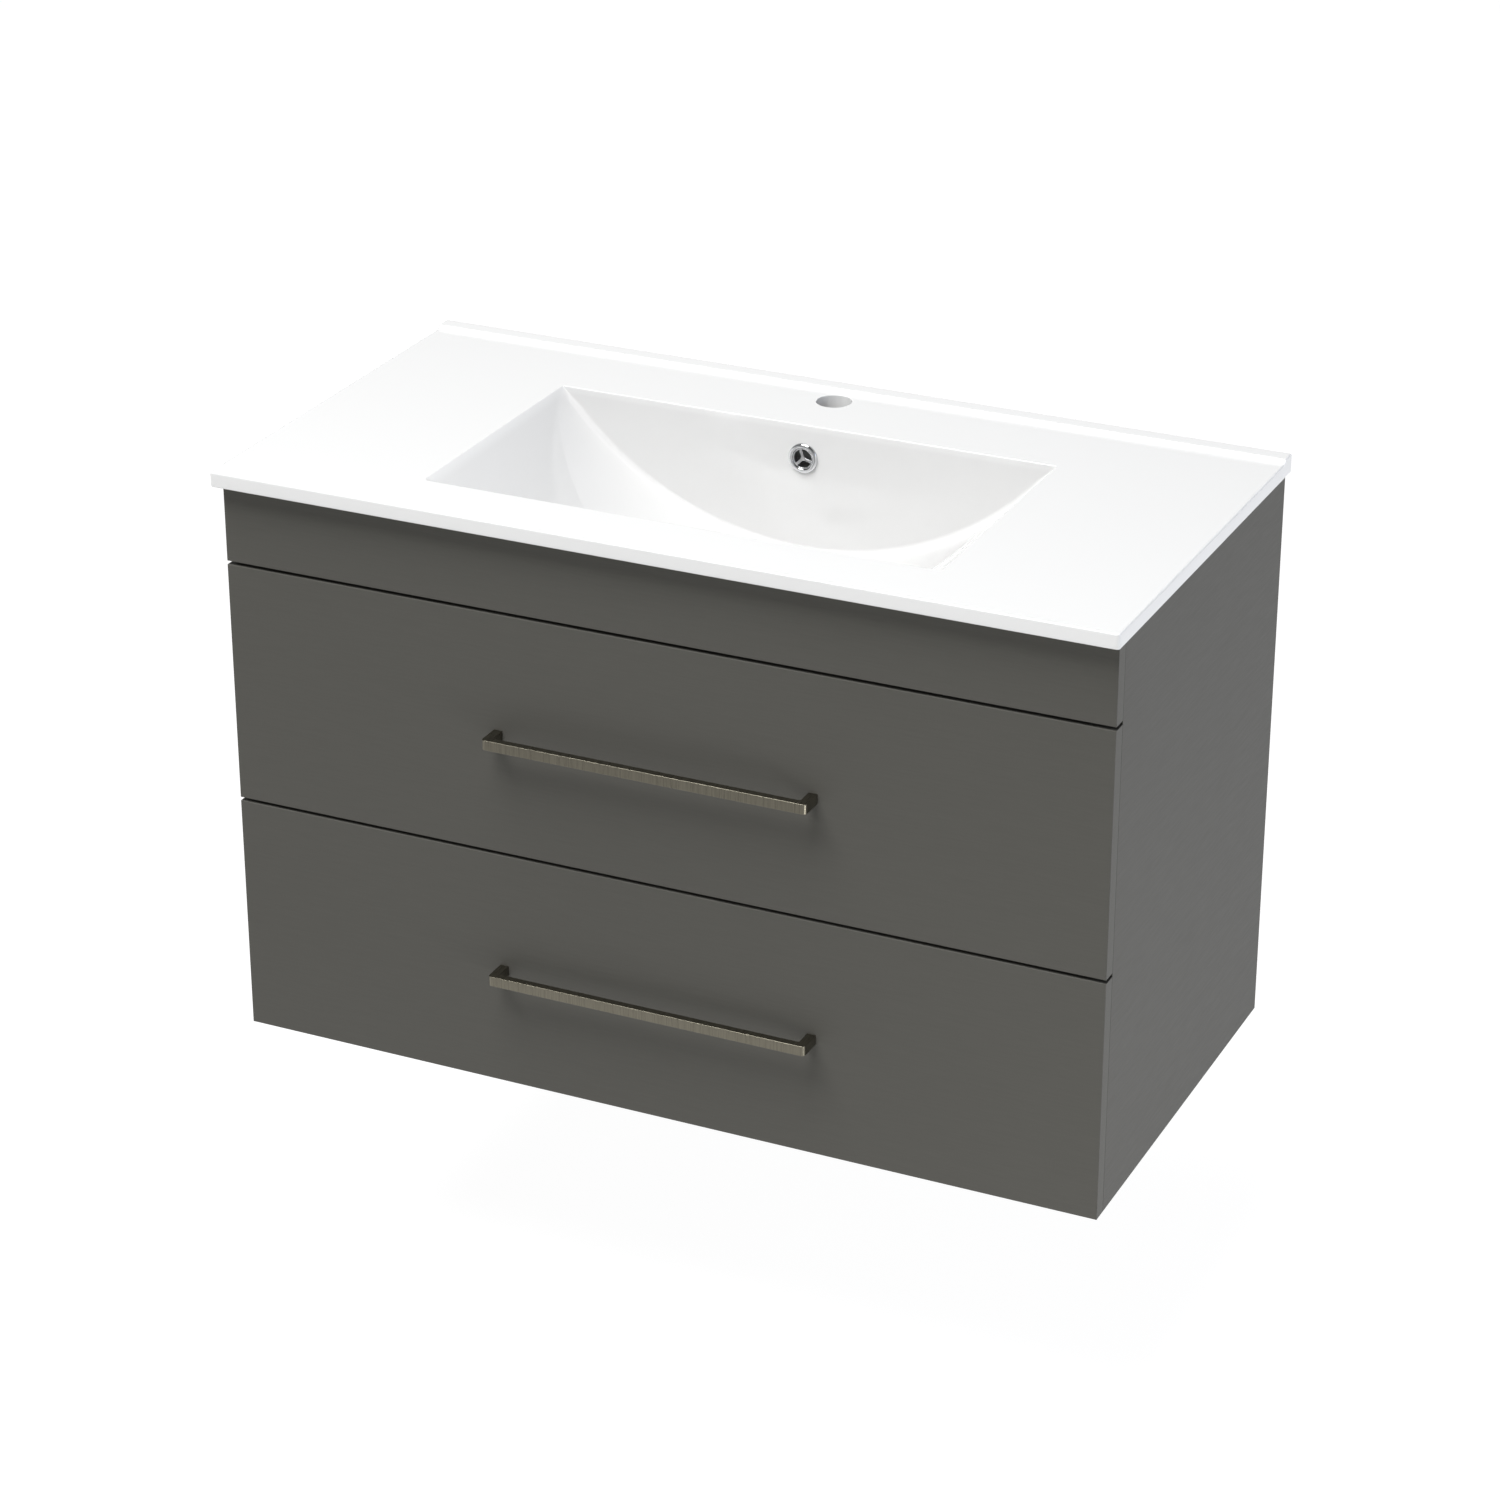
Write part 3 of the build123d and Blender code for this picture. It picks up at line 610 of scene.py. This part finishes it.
def make_deck(bm, upper):
    """The deck behind the bowl and the upstand. Its columns run straight back from the
    bowl's back rim and from the fan's outermost rays. Returns the slab's side edges and the
    lower end of the tap hole."""
    starts = [row[0] for row in reversed(upper[DECK_FIRST:])]
    starts += upper[0]
    starts += [row[-1] for row in upper[DECK_FIRST:]]
    rows = [starts]

    def add_row(y_of, rise):
        row = []
        for vert in starts:
            x, y, z = vert.co
            share = min((z - UNDER_Z) / (RIM_Z - SLAB_EDGE - 0.01 - UNDER_Z), 1.0)
            row.append(bm.verts.new((x, y_of(y), z + rise * share)))
        rows.append(row)

    for part in (0.35, 0.7):
        add_row(lambda y: lerp(y, -72.0, part), 0.0)
    for at in (-72.0, -66.0, -60.0, -52.0, TAP_Y, -34.0, -27.0, UPSTAND_FOOT):
        add_row(lambda _: at, 0.0)
    for t in steps(0, 1, 9)[1:]:
        add_row(lambda _: UPSTAND_FOOT + UPSTAND_RUN * t, UPSTAND * t**3 * (t * (t * 6 - 15) + 10))
    add_row(lambda _: -8.0, UPSTAND)
    for t in steps(0, math.pi / 2, 5):
        drop = UPSTAND_EDGE * (1 - math.cos(t))
        add_row(lambda _: -UPSTAND_EDGE * (1 - math.sin(t)), UPSTAND - drop)
    # the tap hole's block lies between the rows at y -66 and at the upstand's foot
    xs = [v.co.x for v in starts]
    reach = TAP_RADIUS + 4.5
    tap = (4, 10, nearest(xs, -reach), nearest(xs, reach))
    add_quads(bm, rows, skip=[tap])
    bm.faces.new(rows[-1])
    tap_end = rings_from(
        bm, rim_of(rows, tap),
        lambda p: math.atan2(p.y - TAP_Y, p.x),
        lambda a, r, drop: (r * math.cos(a), TAP_Y + r * math.sin(a), RIM_Z - drop),
        lip(TAP_RADIUS, 0.8) + [(TAP_RADIUS, RIM_Z - UNDER_Z)],
    )
    sides = [row[-1] for row in rows[1:]] + [row[0] for row in reversed(rows[1:])]
    return sides, tap_end


def waste_angle(point):
    return math.atan2(point.y - WASTE_Y, point.x)


def round_waste(angle, radius, height_at):
    x = radius * math.cos(angle)
    return (x, WASTE_Y + radius * math.sin(angle), height_at(x))


def below_floor(drop, thick=0.0):
    return lambda x: trough(x, thick) - drop


def level(z):
    return lambda x: z


def overflow_angle(point):
    return math.atan2(point.z - OVERFLOW_Z, point.x)


def round_overflow(angle, radius, drop):
    return (radius * math.cos(angle), BOWL_BACK + drop, OVERFLOW_Z + radius * math.sin(angle))


def make_basin():
    bm = bmesh.new()
    angles = fan_angles()
    middle = len(angles) // 2
    upper = grid_of(bm, [bowl_column(a) for a in angles])
    waste = (
        *around([row[middle].co.y for row in upper], WASTE_Y, WASTE_RADIUS + 7),
        *around([(PLAN_CENTRE - WASTE_Y) * math.tan(a) for a in angles], 0, WASTE_RADIUS + 8),
    )
    overflow = (
        *around(
            [row[middle].co.z for row in upper[:FLOOR_FIRST]], OVERFLOW_Z, OVERFLOW_RADIUS + 3
        ),
        *around([FOOT * math.tan(a) for a in angles], 0, OVERFLOW_RADIUS + 3),
    )
    add_quads(bm, upper, skip=[waste, overflow])
    waste_end = rings_from(
        bm, rim_of(upper, waste), waste_angle, round_waste,
        [(WASTE_RADIUS + 6, below_floor(0)), (WASTE_RADIUS + 5.2, below_floor(0.25)),
         (WASTE_RADIUS + 4.4, below_floor(0.9))]
        + [(r, below_floor(1.0 + drop)) for r, drop in lip(WASTE_RADIUS, 1.5)]
        + [(WASTE_RADIUS, below_floor(12.0))],
    )
    overflow_end = rings_from(
        bm, rim_of(upper, overflow), overflow_angle, round_overflow,
        lip(OVERFLOW_RADIUS, 1.0) + [(OVERFLOW_RADIUS, SHELL - 2)],
    )
    sides, tap_end = make_deck(bm, upper)

    # the bowl's outside, with the boss under the waste and the overflow's way out
    turn = math.atan2(BOWL_HALF - 0.2, FOOT - SHELL) / angles[-1]
    outside = [a * turn for a in angles]
    shell = grid_of(bm, [shell_column(a) for a in outside])
    wall = SHELL_FRONT_ROWS + SHELL_CREASE_ROWS + SHELL_FLOOR_ROWS
    boss = (
        *around([row[middle].co.y for row in shell], WASTE_Y, BOSS_RADIUS + 4.5),
        *around([(PLAN_CENTRE - WASTE_Y) * math.tan(a) for a in outside], 0, BOSS_RADIUS + 5),
    )
    first, last = around(
        [row[middle].co.z for row in shell[wall:]], OVERFLOW_Z, OVERFLOW_RADIUS + 3
    )
    way_out = (
        first + wall, last + wall,
        *around([(FOOT - SHELL) * math.tan(a) for a in outside], 0, OVERFLOW_RADIUS + 3),
    )
    add_quads(bm, shell, skip=[boss, way_out])
    boss_end = rings_from(
        bm, rim_of(shell, boss), waste_angle, round_waste,
        [(BOSS_RADIUS + 3.0, below_floor(0, SHELL)), (BOSS_RADIUS + 0.9, below_floor(1.2, SHELL)),
         (BOSS_RADIUS, below_floor(3.4, SHELL)), (BOSS_RADIUS, level(BOSS_Z + 1.5)),
         (BOSS_RADIUS - 0.5, level(BOSS_Z + 0.4)), (BOSS_RADIUS - 1.5, level(BOSS_Z)),
         (WASTE_RADIUS + 1.0, level(BOSS_Z)), (WASTE_RADIUS, level(BOSS_Z + 1.0)),
         (WASTE_RADIUS, level(RIM_Z - BOWL_DEPTH - 16))],
    )
    join(bm, waste_end, boss_end)
    way_end = rings_from(
        bm, rim_of(shell, way_out), overflow_angle, round_overflow,
        [(OVERFLOW_RADIUS + 2, SHELL), (OVERFLOW_RADIUS, SHELL)],
    )
    join(bm, overflow_end, way_end)

    # the slab's underside: one flat face between the outline, the shell and the tap hole
    add_flat(bm, upper[-1] + sides, [shell[0] + shell[-1][::-1], tap_end])
    add_duct(bm)
    put("basin", bm, ["basin_top"])


def add_flat(bm, outline, holes):
    """Fills the flat region inside an outline and outside some holes."""
    edges = []
    for loop in [outline, *holes]:
        clean = []
        for vert in loop:
            if not clean or (vert.co - clean[-1].co).length > MERGE:
                clean.append(vert)
        if (clean[0].co - clean[-1].co).length < MERGE:
            clean.pop()
        for a, b in zip(clean, clean[1:] + clean[:1]):
            edges.append(bm.edges.get((a, b)) or bm.edges.new((a, b)))
    bmesh.ops.triangle_fill(
        bm, use_beauty=True, use_dissolve=False, edges=edges, normal=(0, 0, -1)
    )


def add_prism(bm, outline, shift, ease):
    """A closed form between a flat outline and its copy at shift, its edges eased."""
    moves = ((0, 0, 0), shift)
    ends = [[bm.verts.new(Vector(p) + Vector(move)) for p in outline] for move in moves]
    faces = [bm.faces.new(end) for end in ends]
    for i in range(len(outline)):
        faces.append(bm.faces.new((ends[0][i - 1], ends[0][i], ends[1][i], ends[1][i - 1])))
    bmesh.ops.recalc_face_normals(bm, faces=faces)
    edges = list({e for f in faces for e in f.edges})
    bmesh.ops.bevel(bm, geom=edges, offset=ease, segments=3, profile=0.5, affect="EDGES")


def add_duct(bm):
    """The channel that takes the overflow down behind the bowl, and forward into the boss."""
    near, back = BOWL_BACK + SHELL - 1.5, BOWL_BACK + SHELL + 22.0
    half, wall = DUCT_HALF, 5.0
    foot = RIM_Z - BOWL_DEPTH - SHELL
    plan = [
        (-half, near), (-half, back), (half, back), (half, near),
        (half - wall, near), (half - wall, back - wall),
        (wall - half, back - wall), (wall - half, near),
    ]
    add_prism(bm, [(x, y, foot - 4) for x, y in plan], (0, 0, UNDER_Z + 0.5 - (foot - 4)), 1.2)
    front = WASTE_Y + BOSS_RADIUS - 5
    floor = [(-half, front), (half, front), (half, back), (-half, back)]
    add_prism(bm, [(x, y, BOSS_Z) for x, y in floor], (0, 0, foot + 3 - BOSS_Z), 1.2)


make_basin()


# ---- boards and channels: the CAD's own shape with softened edges ----------------------


def soften(node_name, width, long_edges=False):
    """A copy of a CAD node's mesh, its outer edges rounded, or its long convex ones."""
    bm = bmesh.new()
    bm.from_mesh(nodes[node_name].data)
    for vert in bm.verts:
        vert.co /= MM
    bmesh.ops.remove_doubles(bm, verts=bm.verts, dist=0.002)
    bmesh.ops.dissolve_limit(bm, angle_limit=math.radians(0.6), verts=bm.verts, edges=bm.edges)
    low, high = box_mm(node_name)

    def on_planes(vert):
        return {
            (axis, side)
            for axis in range(3)
            for side, plane in ((0, low), (1, high))
            if abs(vert.co[axis] - plane[axis]) < 0.01
        }

    chosen = []
    for edge in bm.edges:
        if len(edge.link_faces) != 2 or edge.calc_face_angle(0) < math.radians(40):
            continue
        a, b = edge.verts
        if long_edges:
            if edge.calc_length() > 100 and edge.is_convex:
                chosen.append(edge)
        elif len(on_planes(a) & on_planes(b)) >= 2:
            chosen.append(edge)
    if chosen:
        bmesh.ops.bevel(
            bm, geom=chosen, offset=width, segments=2, profile=0.5, affect="EDGES",
            clamp_overlap=True,
        )
    put(node_name + "_soft", bm, [node_name])


# ---- handles --------------------------------------------------------------------------


def arc(centre, radius, start, end, count):
    """Points of an arc in plan, its angles in degrees."""
    x, y = centre
    return [
        (x + radius * math.cos(math.radians(a)), y + radius * math.sin(math.radians(a)))
        for a in steps(start, end, count)
    ]


def make_handle(node_name):
    """A flat bar bent to a U: rounded outer corners, tight inner ones, eased edges."""
    low, high = box_mm(node_name)
    leg, bar, outer, inner = 9.0, 8.0, 4.0, 1.2
    half, front, back = high.x, low.y, high.y
    outline = [(-half, back)] + arc((-half + outer, front + outer), outer, 180, 270, 9)
    outline += arc((half - outer, front + outer), outer, 270, 360, 9) + [(half, back)]
    outline += [(half - leg, back)]
    outline += arc((half - leg - inner, front + bar + inner), inner, 0, -90, 4)
    outline += arc((-half + leg + inner, front + bar + inner), inner, -90, -180, 4)
    outline += [(-half + leg, back)]
    bm = bmesh.new()
    flat = bm.faces.new([bm.verts.new((x, y, low.z)) for x, y in outline])
    made = bmesh.ops.extrude_face_region(bm, geom=[flat])
    raised = [v for v in made["geom"] if isinstance(v, bmesh.types.BMVert)]
    bmesh.ops.translate(bm, verts=raised, vec=(0, 0, high.z - low.z))
    bmesh.ops.recalc_face_normals(bm, faces=bm.faces)
    edges = [
        e for e in bm.edges
        if e.calc_face_angle(0) > math.radians(50)
        and (max(v.co.y for v in e.verts) < back - 0.1
             or abs(e.verts[0].co.z - e.verts[1].co.z) < 0.1)
    ]
    bmesh.ops.bevel(bm, geom=edges, offset=0.5, segments=3, profile=0.5, affect="EDGES")
    put(node_name + "_bar", bm, [node_name])


make_handle("upper_handle")
make_handle("lower_handle")


# ---- overflow trim --------------------------------------------------------------------


def turned_ring(bm, place, radius_at, height, count=TURNED):
    """A ring of vertices. radius_at gives the radius at an angle, and place maps (across,
    across, height) into the frame."""
    angles = [2 * math.pi * i / count for i in range(count)]
    return [
        bm.verts.new(place(radius_at(a) * math.cos(a), radius_at(a) * math.sin(a), height))
        for a in angles
    ]


def make_ring():
    """The flange and tube of the trim, turned from one closed profile."""
    low, high = box_mm("overflow_ring")
    flange, length, flange_depth = high.x, high.y - low.y, BOWL_BACK - low.y
    bore = box_mm("overflow_grille")[1].x + TRIM_PLAY
    tube = OVERFLOW_RADIUS - TRIM_PLAY
    outer, inner = 2.4, 1.3      # roundings of the flange's two front edges
    profile = [
        (flange - outer * (1 - math.cos(t)), outer - outer * math.sin(t))
        for t in steps(0, math.pi / 2, 7)
    ]
    profile += [
        (bore + inner * (1 - math.sin(t)), inner - inner * math.cos(t))
        for t in steps(0, math.pi / 2, 6)
    ]
    profile += [(bore, length), (tube, length), (tube, flange_depth), (flange, flange_depth)]
    bm = bmesh.new()

    def facing_front(x, up, height):
        return (x, low.y + height, OVERFLOW_Z + up)

    rings = [
        turned_ring(bm, facing_front, lambda _: radius, height, 64) for radius, height in profile
    ]
    add_quads(bm, rings + rings[:1], wrap=True)
    put("overflow_trim_ring", bm, ["overflow_ring"])


def make_grille():
    """A rim and three arms, cut from one plate and eased along its front edges."""
    low, high = box_mm("overflow_grille")
    outer, rim, arm, hub = high.x, 1.3, 1.3, 2.4
    inner = outer - rim
    loops = [[(outer * math.cos(a), outer * math.sin(a)) for a in steps(0, 2 * math.pi, 49)[:-1]]]
    for k in range(3):
        first = math.radians(105 + 120 * k)
        middle = first + math.radians(60)
        spread = math.radians(60) - math.asin(arm / inner)
        loop = [
            (inner * math.cos(middle + a), inner * math.sin(middle + a))
            for a in steps(-spread, spread, 15)
        ]
        near = math.radians(60) - math.asin(min(arm / hub, 0.8))
        loop += [
            (hub * math.cos(middle + a), hub * math.sin(middle + a))
            for a in steps(near, -near, 4)
        ]
        loops.append(loop)
    bm = bmesh.new()
    edges = []
    for loop in loops:
        verts = [bm.verts.new((x, low.y, OVERFLOW_Z + z)) for x, z in loop]
        edges += [bm.edges.new((a, b)) for a, b in zip(verts, verts[1:] + verts[:1])]
    bmesh.ops.triangle_fill(bm, use_beauty=True, edges=edges, normal=(0, -1, 0))
    made = bmesh.ops.extrude_face_region(bm, geom=list(bm.faces))
    moved = [v for v in made["geom"] if isinstance(v, bmesh.types.BMVert)]
    bmesh.ops.translate(bm, verts=moved, vec=(0, high.y - low.y, 0))
    bmesh.ops.recalc_face_normals(bm, faces=bm.faces)
    front = [
        e for e in bm.edges
        if e.calc_face_angle(0) > math.radians(60)
        and max(v.co.y for v in e.verts) < low.y + 0.01
    ]
    bmesh.ops.bevel(bm, geom=front, offset=0.35, segments=3, profile=0.5, affect="EDGES")
    put("overflow_trim_grille", bm, ["overflow_grille"])


make_ring()
make_grille()


# ---- screws, dowels and balls: one detailed form for each loose part of the CAD node ---


def loose_parts(node_name):
    """The corner points of each separate solid of a CAD node, in millimetres."""
    bm = bmesh.new()
    bm.from_mesh(nodes[node_name].data)
    bmesh.ops.remove_doubles(bm, verts=bm.verts, dist=2e-6)
    bm.verts.ensure_lookup_table()
    seen, parts = set(), []
    for seed in bm.verts:
        if seed.index in seen:
            continue
        stack, part = [seed], []
        seen.add(seed.index)
        while stack:
            vert = stack.pop()
            part.append(vert.co / MM)
            for edge in vert.link_edges:
                other = edge.other_vert(vert)
                if other.index not in seen:
                    seen.add(other.index)
                    stack.append(other)
        parts.append(part)
    bm.free()
    return parts


def measure(part):
    """Axis number of a turned part, its middle line, and its radius at both ends."""
    low = Vector([min(p[k] for p in part) for k in range(3)])
    high = Vector([max(p[k] for p in part) for k in range(3)])
    size = high - low
    axis = max(range(3), key=lambda k: size[k])
    middle = (low + high) / 2

    def radius(at):
        ring = [p for p in part if abs(p[axis] - at) < 0.01]
        return max(max(abs(p[k] - middle[k]) for k in range(3) if k != axis) for p in ring)

    return axis, middle, low[axis], high[axis], radius(low[axis]), radius(high[axis])


def along(axis, middle, start, sign):
    """Maps (across, across, distance from start) onto a part's own axis."""
    first, second = [k for k in range(3) if k != axis]

    def place(a, b, height):
        point = [0.0, 0.0, 0.0]
        point[first], point[second] = middle[first] + a, middle[second] + b
        point[axis] = start + sign * height
        return point

    return place


def make_screws(node_name):
    """Pan-head screws with a cross recess and a tapered tip."""
    bm = bmesh.new()
    for part in loose_parts(node_name):
        axis, middle, low, high, at_low, at_high = measure(part)
        head_first = at_low > at_high
        start, sign = (low, 1) if head_first else (high, -1)
        head, shank = max(at_low, at_high), min(at_low, at_high)
        length = high - low
        # the CAD screw has corners at its head's top, at the head's underside and at its tip
        thick = sorted({round(abs(p[axis] - start), 2) for p in part})[1]
        place = along(axis, middle, start, sign)

        def cross(angle, long, narrow):
            c, s = abs(math.cos(angle)) + 1e-6, abs(math.sin(angle)) + 1e-6
            return max(min(long / c, narrow / s), min(narrow / c, long / s))

        rings = [turned_ring(bm, place, lambda _: 0.0, thick * 0.72)]
        for long, narrow, depth in ((0.30, 0.08, 0.72), (0.50, 0.13, 0.12)):
            rings.append(turned_ring(
                bm, place, lambda a: cross(a, head * long, head * narrow), thick * depth
            ))
        turned = [
            (head * 0.62, thick * 0.04), (head * 0.8, thick * 0.13), (head * 0.93, thick * 0.33),
            (head, thick * 0.62), (head, thick * 0.95), (head * 0.97, thick),
            (shank, thick), (shank, length - 2.5), (shank * 0.3, length - 0.2), (0.0, length),
        ]
        for radius, height in turned:
            rings.append(turned_ring(bm, place, lambda _: radius, height))
        add_quads(bm, rings, wrap=True)
    put(node_name + "_crosshead", bm, [node_name])


def make_dowels(node_name):
    """Fluted beech dowels with chamfered ends."""
    bm = bmesh.new()
    for part in loose_parts(node_name):
        axis, middle, low, high, radius, _ = measure(part)
        place = along(axis, middle, low, 1)
        length = high - low
        rings = []

        def fluted(angle, share):
            depth = 0.05 * (0.5 + 0.5 * math.cos(16 * angle)) if share > 0.9 else 0.0
            return radius * share * (1 - depth)

        for share, height in (
            (0.0, 0.0), (0.72, 0.0), (0.97, 1.0), (1.0, 1.6),
            (1.0, length - 1.6), (0.97, length - 1.0), (0.72, length), (0.0, length),
        ):
            rings.append(turned_ring(bm, place, lambda a: fluted(a, share), height))
        add_quads(bm, rings, wrap=True)
    put(node_name + "_fluted", bm, [node_name])


def make_balls(node_name):
    """Balls in their cages: thin strips with rounded ends that keep them apart."""
    bm = bmesh.new()
    races = {}
    for part in loose_parts(node_name):
        low = Vector([min(p[k] for p in part) for k in range(3)])
        high = Vector([max(p[k] for p in part) for k in range(3)])
        centre, radius = (low + high) / 2, (high.z - low.z) / 2
        ball = bmesh.ops.create_icosphere(bm, subdivisions=2, radius=radius)
        bmesh.ops.translate(bm, verts=ball["verts"], vec=centre)
        races.setdefault((round(centre.x), round(centre.z)), []).append(centre)
    for centres in races.values():
        first, last = min(c.y for c in centres), max(c.y for c in centres)
        x, z = centres[0].x, centres[0].z
        width, thick, over = 1.9, 0.3, 5.0
        outline = [
            (x + width * math.cos(a), end + width * math.sin(a))
            for end, turn in ((last + over, 0.0), (first - over, math.pi))
            for a in steps(turn, turn + math.pi, 9)
        ]
        lower = [bm.verts.new((px, py, z - thick)) for px, py in outline]
        upper_ring = [bm.verts.new((px, py, z + thick)) for px, py in outline]
        add_quads(bm, [lower, upper_ring], wrap=True)
        bm.faces.new(list(reversed(lower)))
        bm.faces.new(upper_ring)
    put(node_name + "_caged", bm, [node_name])


def make_sealant():
    """A bead with a hollow face, smoothed by a finger, round the inside of the carcass."""
    low, high = box_mm("basin_sealant")
    size = high.z - low.z
    bm = bmesh.new()
    section = [(0.0, 0.0)]
    section += [
        (size * (1 - math.sin(a)) ** 1.15, size * (1 - math.cos(a)) ** 1.15)
        for a in steps(0, math.pi / 2, 8)
    ]
    rings = []
    for sx, sy in ((-1, -1), (1, -1), (1, 1), (-1, 1)):
        corner_x = high.x if sx > 0 else low.x
        corner_y = high.y if sy > 0 else low.y
        rings.append([
            bm.verts.new((corner_x - sx * inward, corner_y - sy * inward, high.z - down))
            for inward, down in section
        ])
    rings.append(rings[0])
    add_quads(bm, rings, wrap=True)
    put("basin_sealant_bead", bm, ["basin_sealant"])


for name, slot in slot_of_node.items():
    if slot == "screw_steel":
        make_screws(name)
    elif slot == "dowel_wood":
        make_dowels(name)
    elif slot == "ball_steel":
        make_balls(name)
make_sealant()

for name, slot in slot_of_node.items():
    if slot in ("front_board", "carcass_board", "rail_board", "drawer_board"):
        soften(name, 0.45)
    elif slot == "runner_steel":
        soften(name, 0.5, long_edges=True)

# every CAD node that still shows takes the same procedural finish as the pieces
for name, node in nodes.items():
    node.data.materials[0] = finishes[slot_of_node[name]]


# ---- camera, floor and light ----------------------------------------------------------

aim = (cad_low + cad_high) / 2
azimuth, elevation, distance = math.radians(24.97), math.radians(25.035), 4.0294
camera_data = bpy.data.cameras.new("camera")
camera_data.lens = 100.64
camera_data.sensor_width = 36.0
camera = bpy.data.objects.new("camera", camera_data)
bpy.context.scene.collection.objects.link(camera)
toward = Vector((
    math.sin(azimuth) * math.cos(elevation),
    -math.cos(azimuth) * math.cos(elevation),
    math.sin(elevation),
))
camera.location = aim + toward * distance
camera.rotation_euler = (-toward).to_track_quat("-Z", "Y").to_euler()
bpy.context.scene.camera = camera
bpy.context.scene.view_settings.view_transform = "Standard"

floor_bm = bmesh.new()
bmesh.ops.create_grid(floor_bm, x_segments=8, y_segments=8, size=30.0)
floor_mesh = bpy.data.meshes.new("floor")
floor_bm.to_mesh(floor_mesh)
floor_bm.free()
floor = bpy.data.objects.new("floor", floor_mesh)
floor.location = (0, 0, -0.28)      # the cabinet hangs on a wall, well above the floor
bpy.context.scene.collection.objects.link(floor)
# the floor is dark grey and glows: its pale tone is its own light, which also falls on the cabinet
floor_finish = Shader("glowing_pale_floor", Base_Color=(0.15, 0.15, 0.15, 1), Roughness=1.0)
floor_finish.surface.inputs["Specular IOR Level"].default_value = 0.0
floor_finish.surface.inputs["Emission Color"].default_value = (1, 1, 1, 1)
floor_mesh.materials.append(floor_finish.material)

world = bpy.data.worlds.new("studio")
world.use_nodes = True
background = world.node_tree.nodes["Background"]
background.inputs["Color"].default_value = (0.98, 0.99, 1.0, 1)


def add_ramp(tree, source, axis, values, start, end, target):
    """Feeds a socket values[0] to values[1] as one coordinate goes from start to end."""
    place = tree.nodes.new("ShaderNodeTexCoord")
    parts = tree.nodes.new("ShaderNodeSeparateXYZ")
    ramp = tree.nodes.new("ShaderNodeMapRange")
    ramp.interpolation_type = "SMOOTHSTEP"
    for key, number in zip(("From Min", "From Max", "To Min", "To Max"), (start, end, *values)):
        ramp.inputs[key].default_value = number
    tree.links.new(place.outputs[source], parts.inputs["Vector"])
    tree.links.new(parts.outputs[axis], ramp.inputs["Value"])
    tree.links.new(ramp.outputs["Result"], target)


# the studio's walls are lighter toward the horizon, and its floor's glow, which also lights the
# cabinet from below, fades in front
add_ramp(world.node_tree, "Generated", "Z", (0.55, 0.12), 0.0, 0.8, background.inputs["Strength"])
add_ramp(floor_mesh.materials[0].node_tree, "Object", "Y", (0.95, 0.45), -0.7, -1.7,
         floor_finish.surface.inputs["Emission Strength"])
bpy.context.scene.world = world


def soft_light(name, place, size, strength, colour=(1, 1, 1)):
    """A square panel that faces the object. strength is its power over pi times its area."""
    data = bpy.data.lights.new(name, "AREA")
    data.shape = "SQUARE"
    data.size = size
    data.energy = strength * math.pi * size**2
    data.color = colour
    lamp = bpy.data.objects.new(name, data)
    lamp.location = place
    lamp.visible_camera = False
    lamp.rotation_euler = (aim - lamp.location).to_track_quat("-Z", "Y").to_euler()
    bpy.context.scene.collection.objects.link(lamp)


soft_light("key", aim + Vector((-0.7, -1.75, 4.3)), 2.9, 12.3)
soft_light("cool_fill", aim + Vector((3.0, 0.2, 0.7)), 1.6, 2.5, (0.72, 0.8, 1.0))
soft_light("corner_glint", aim + Vector((1.15, -0.69, -0.5)), 0.42, 8.0)
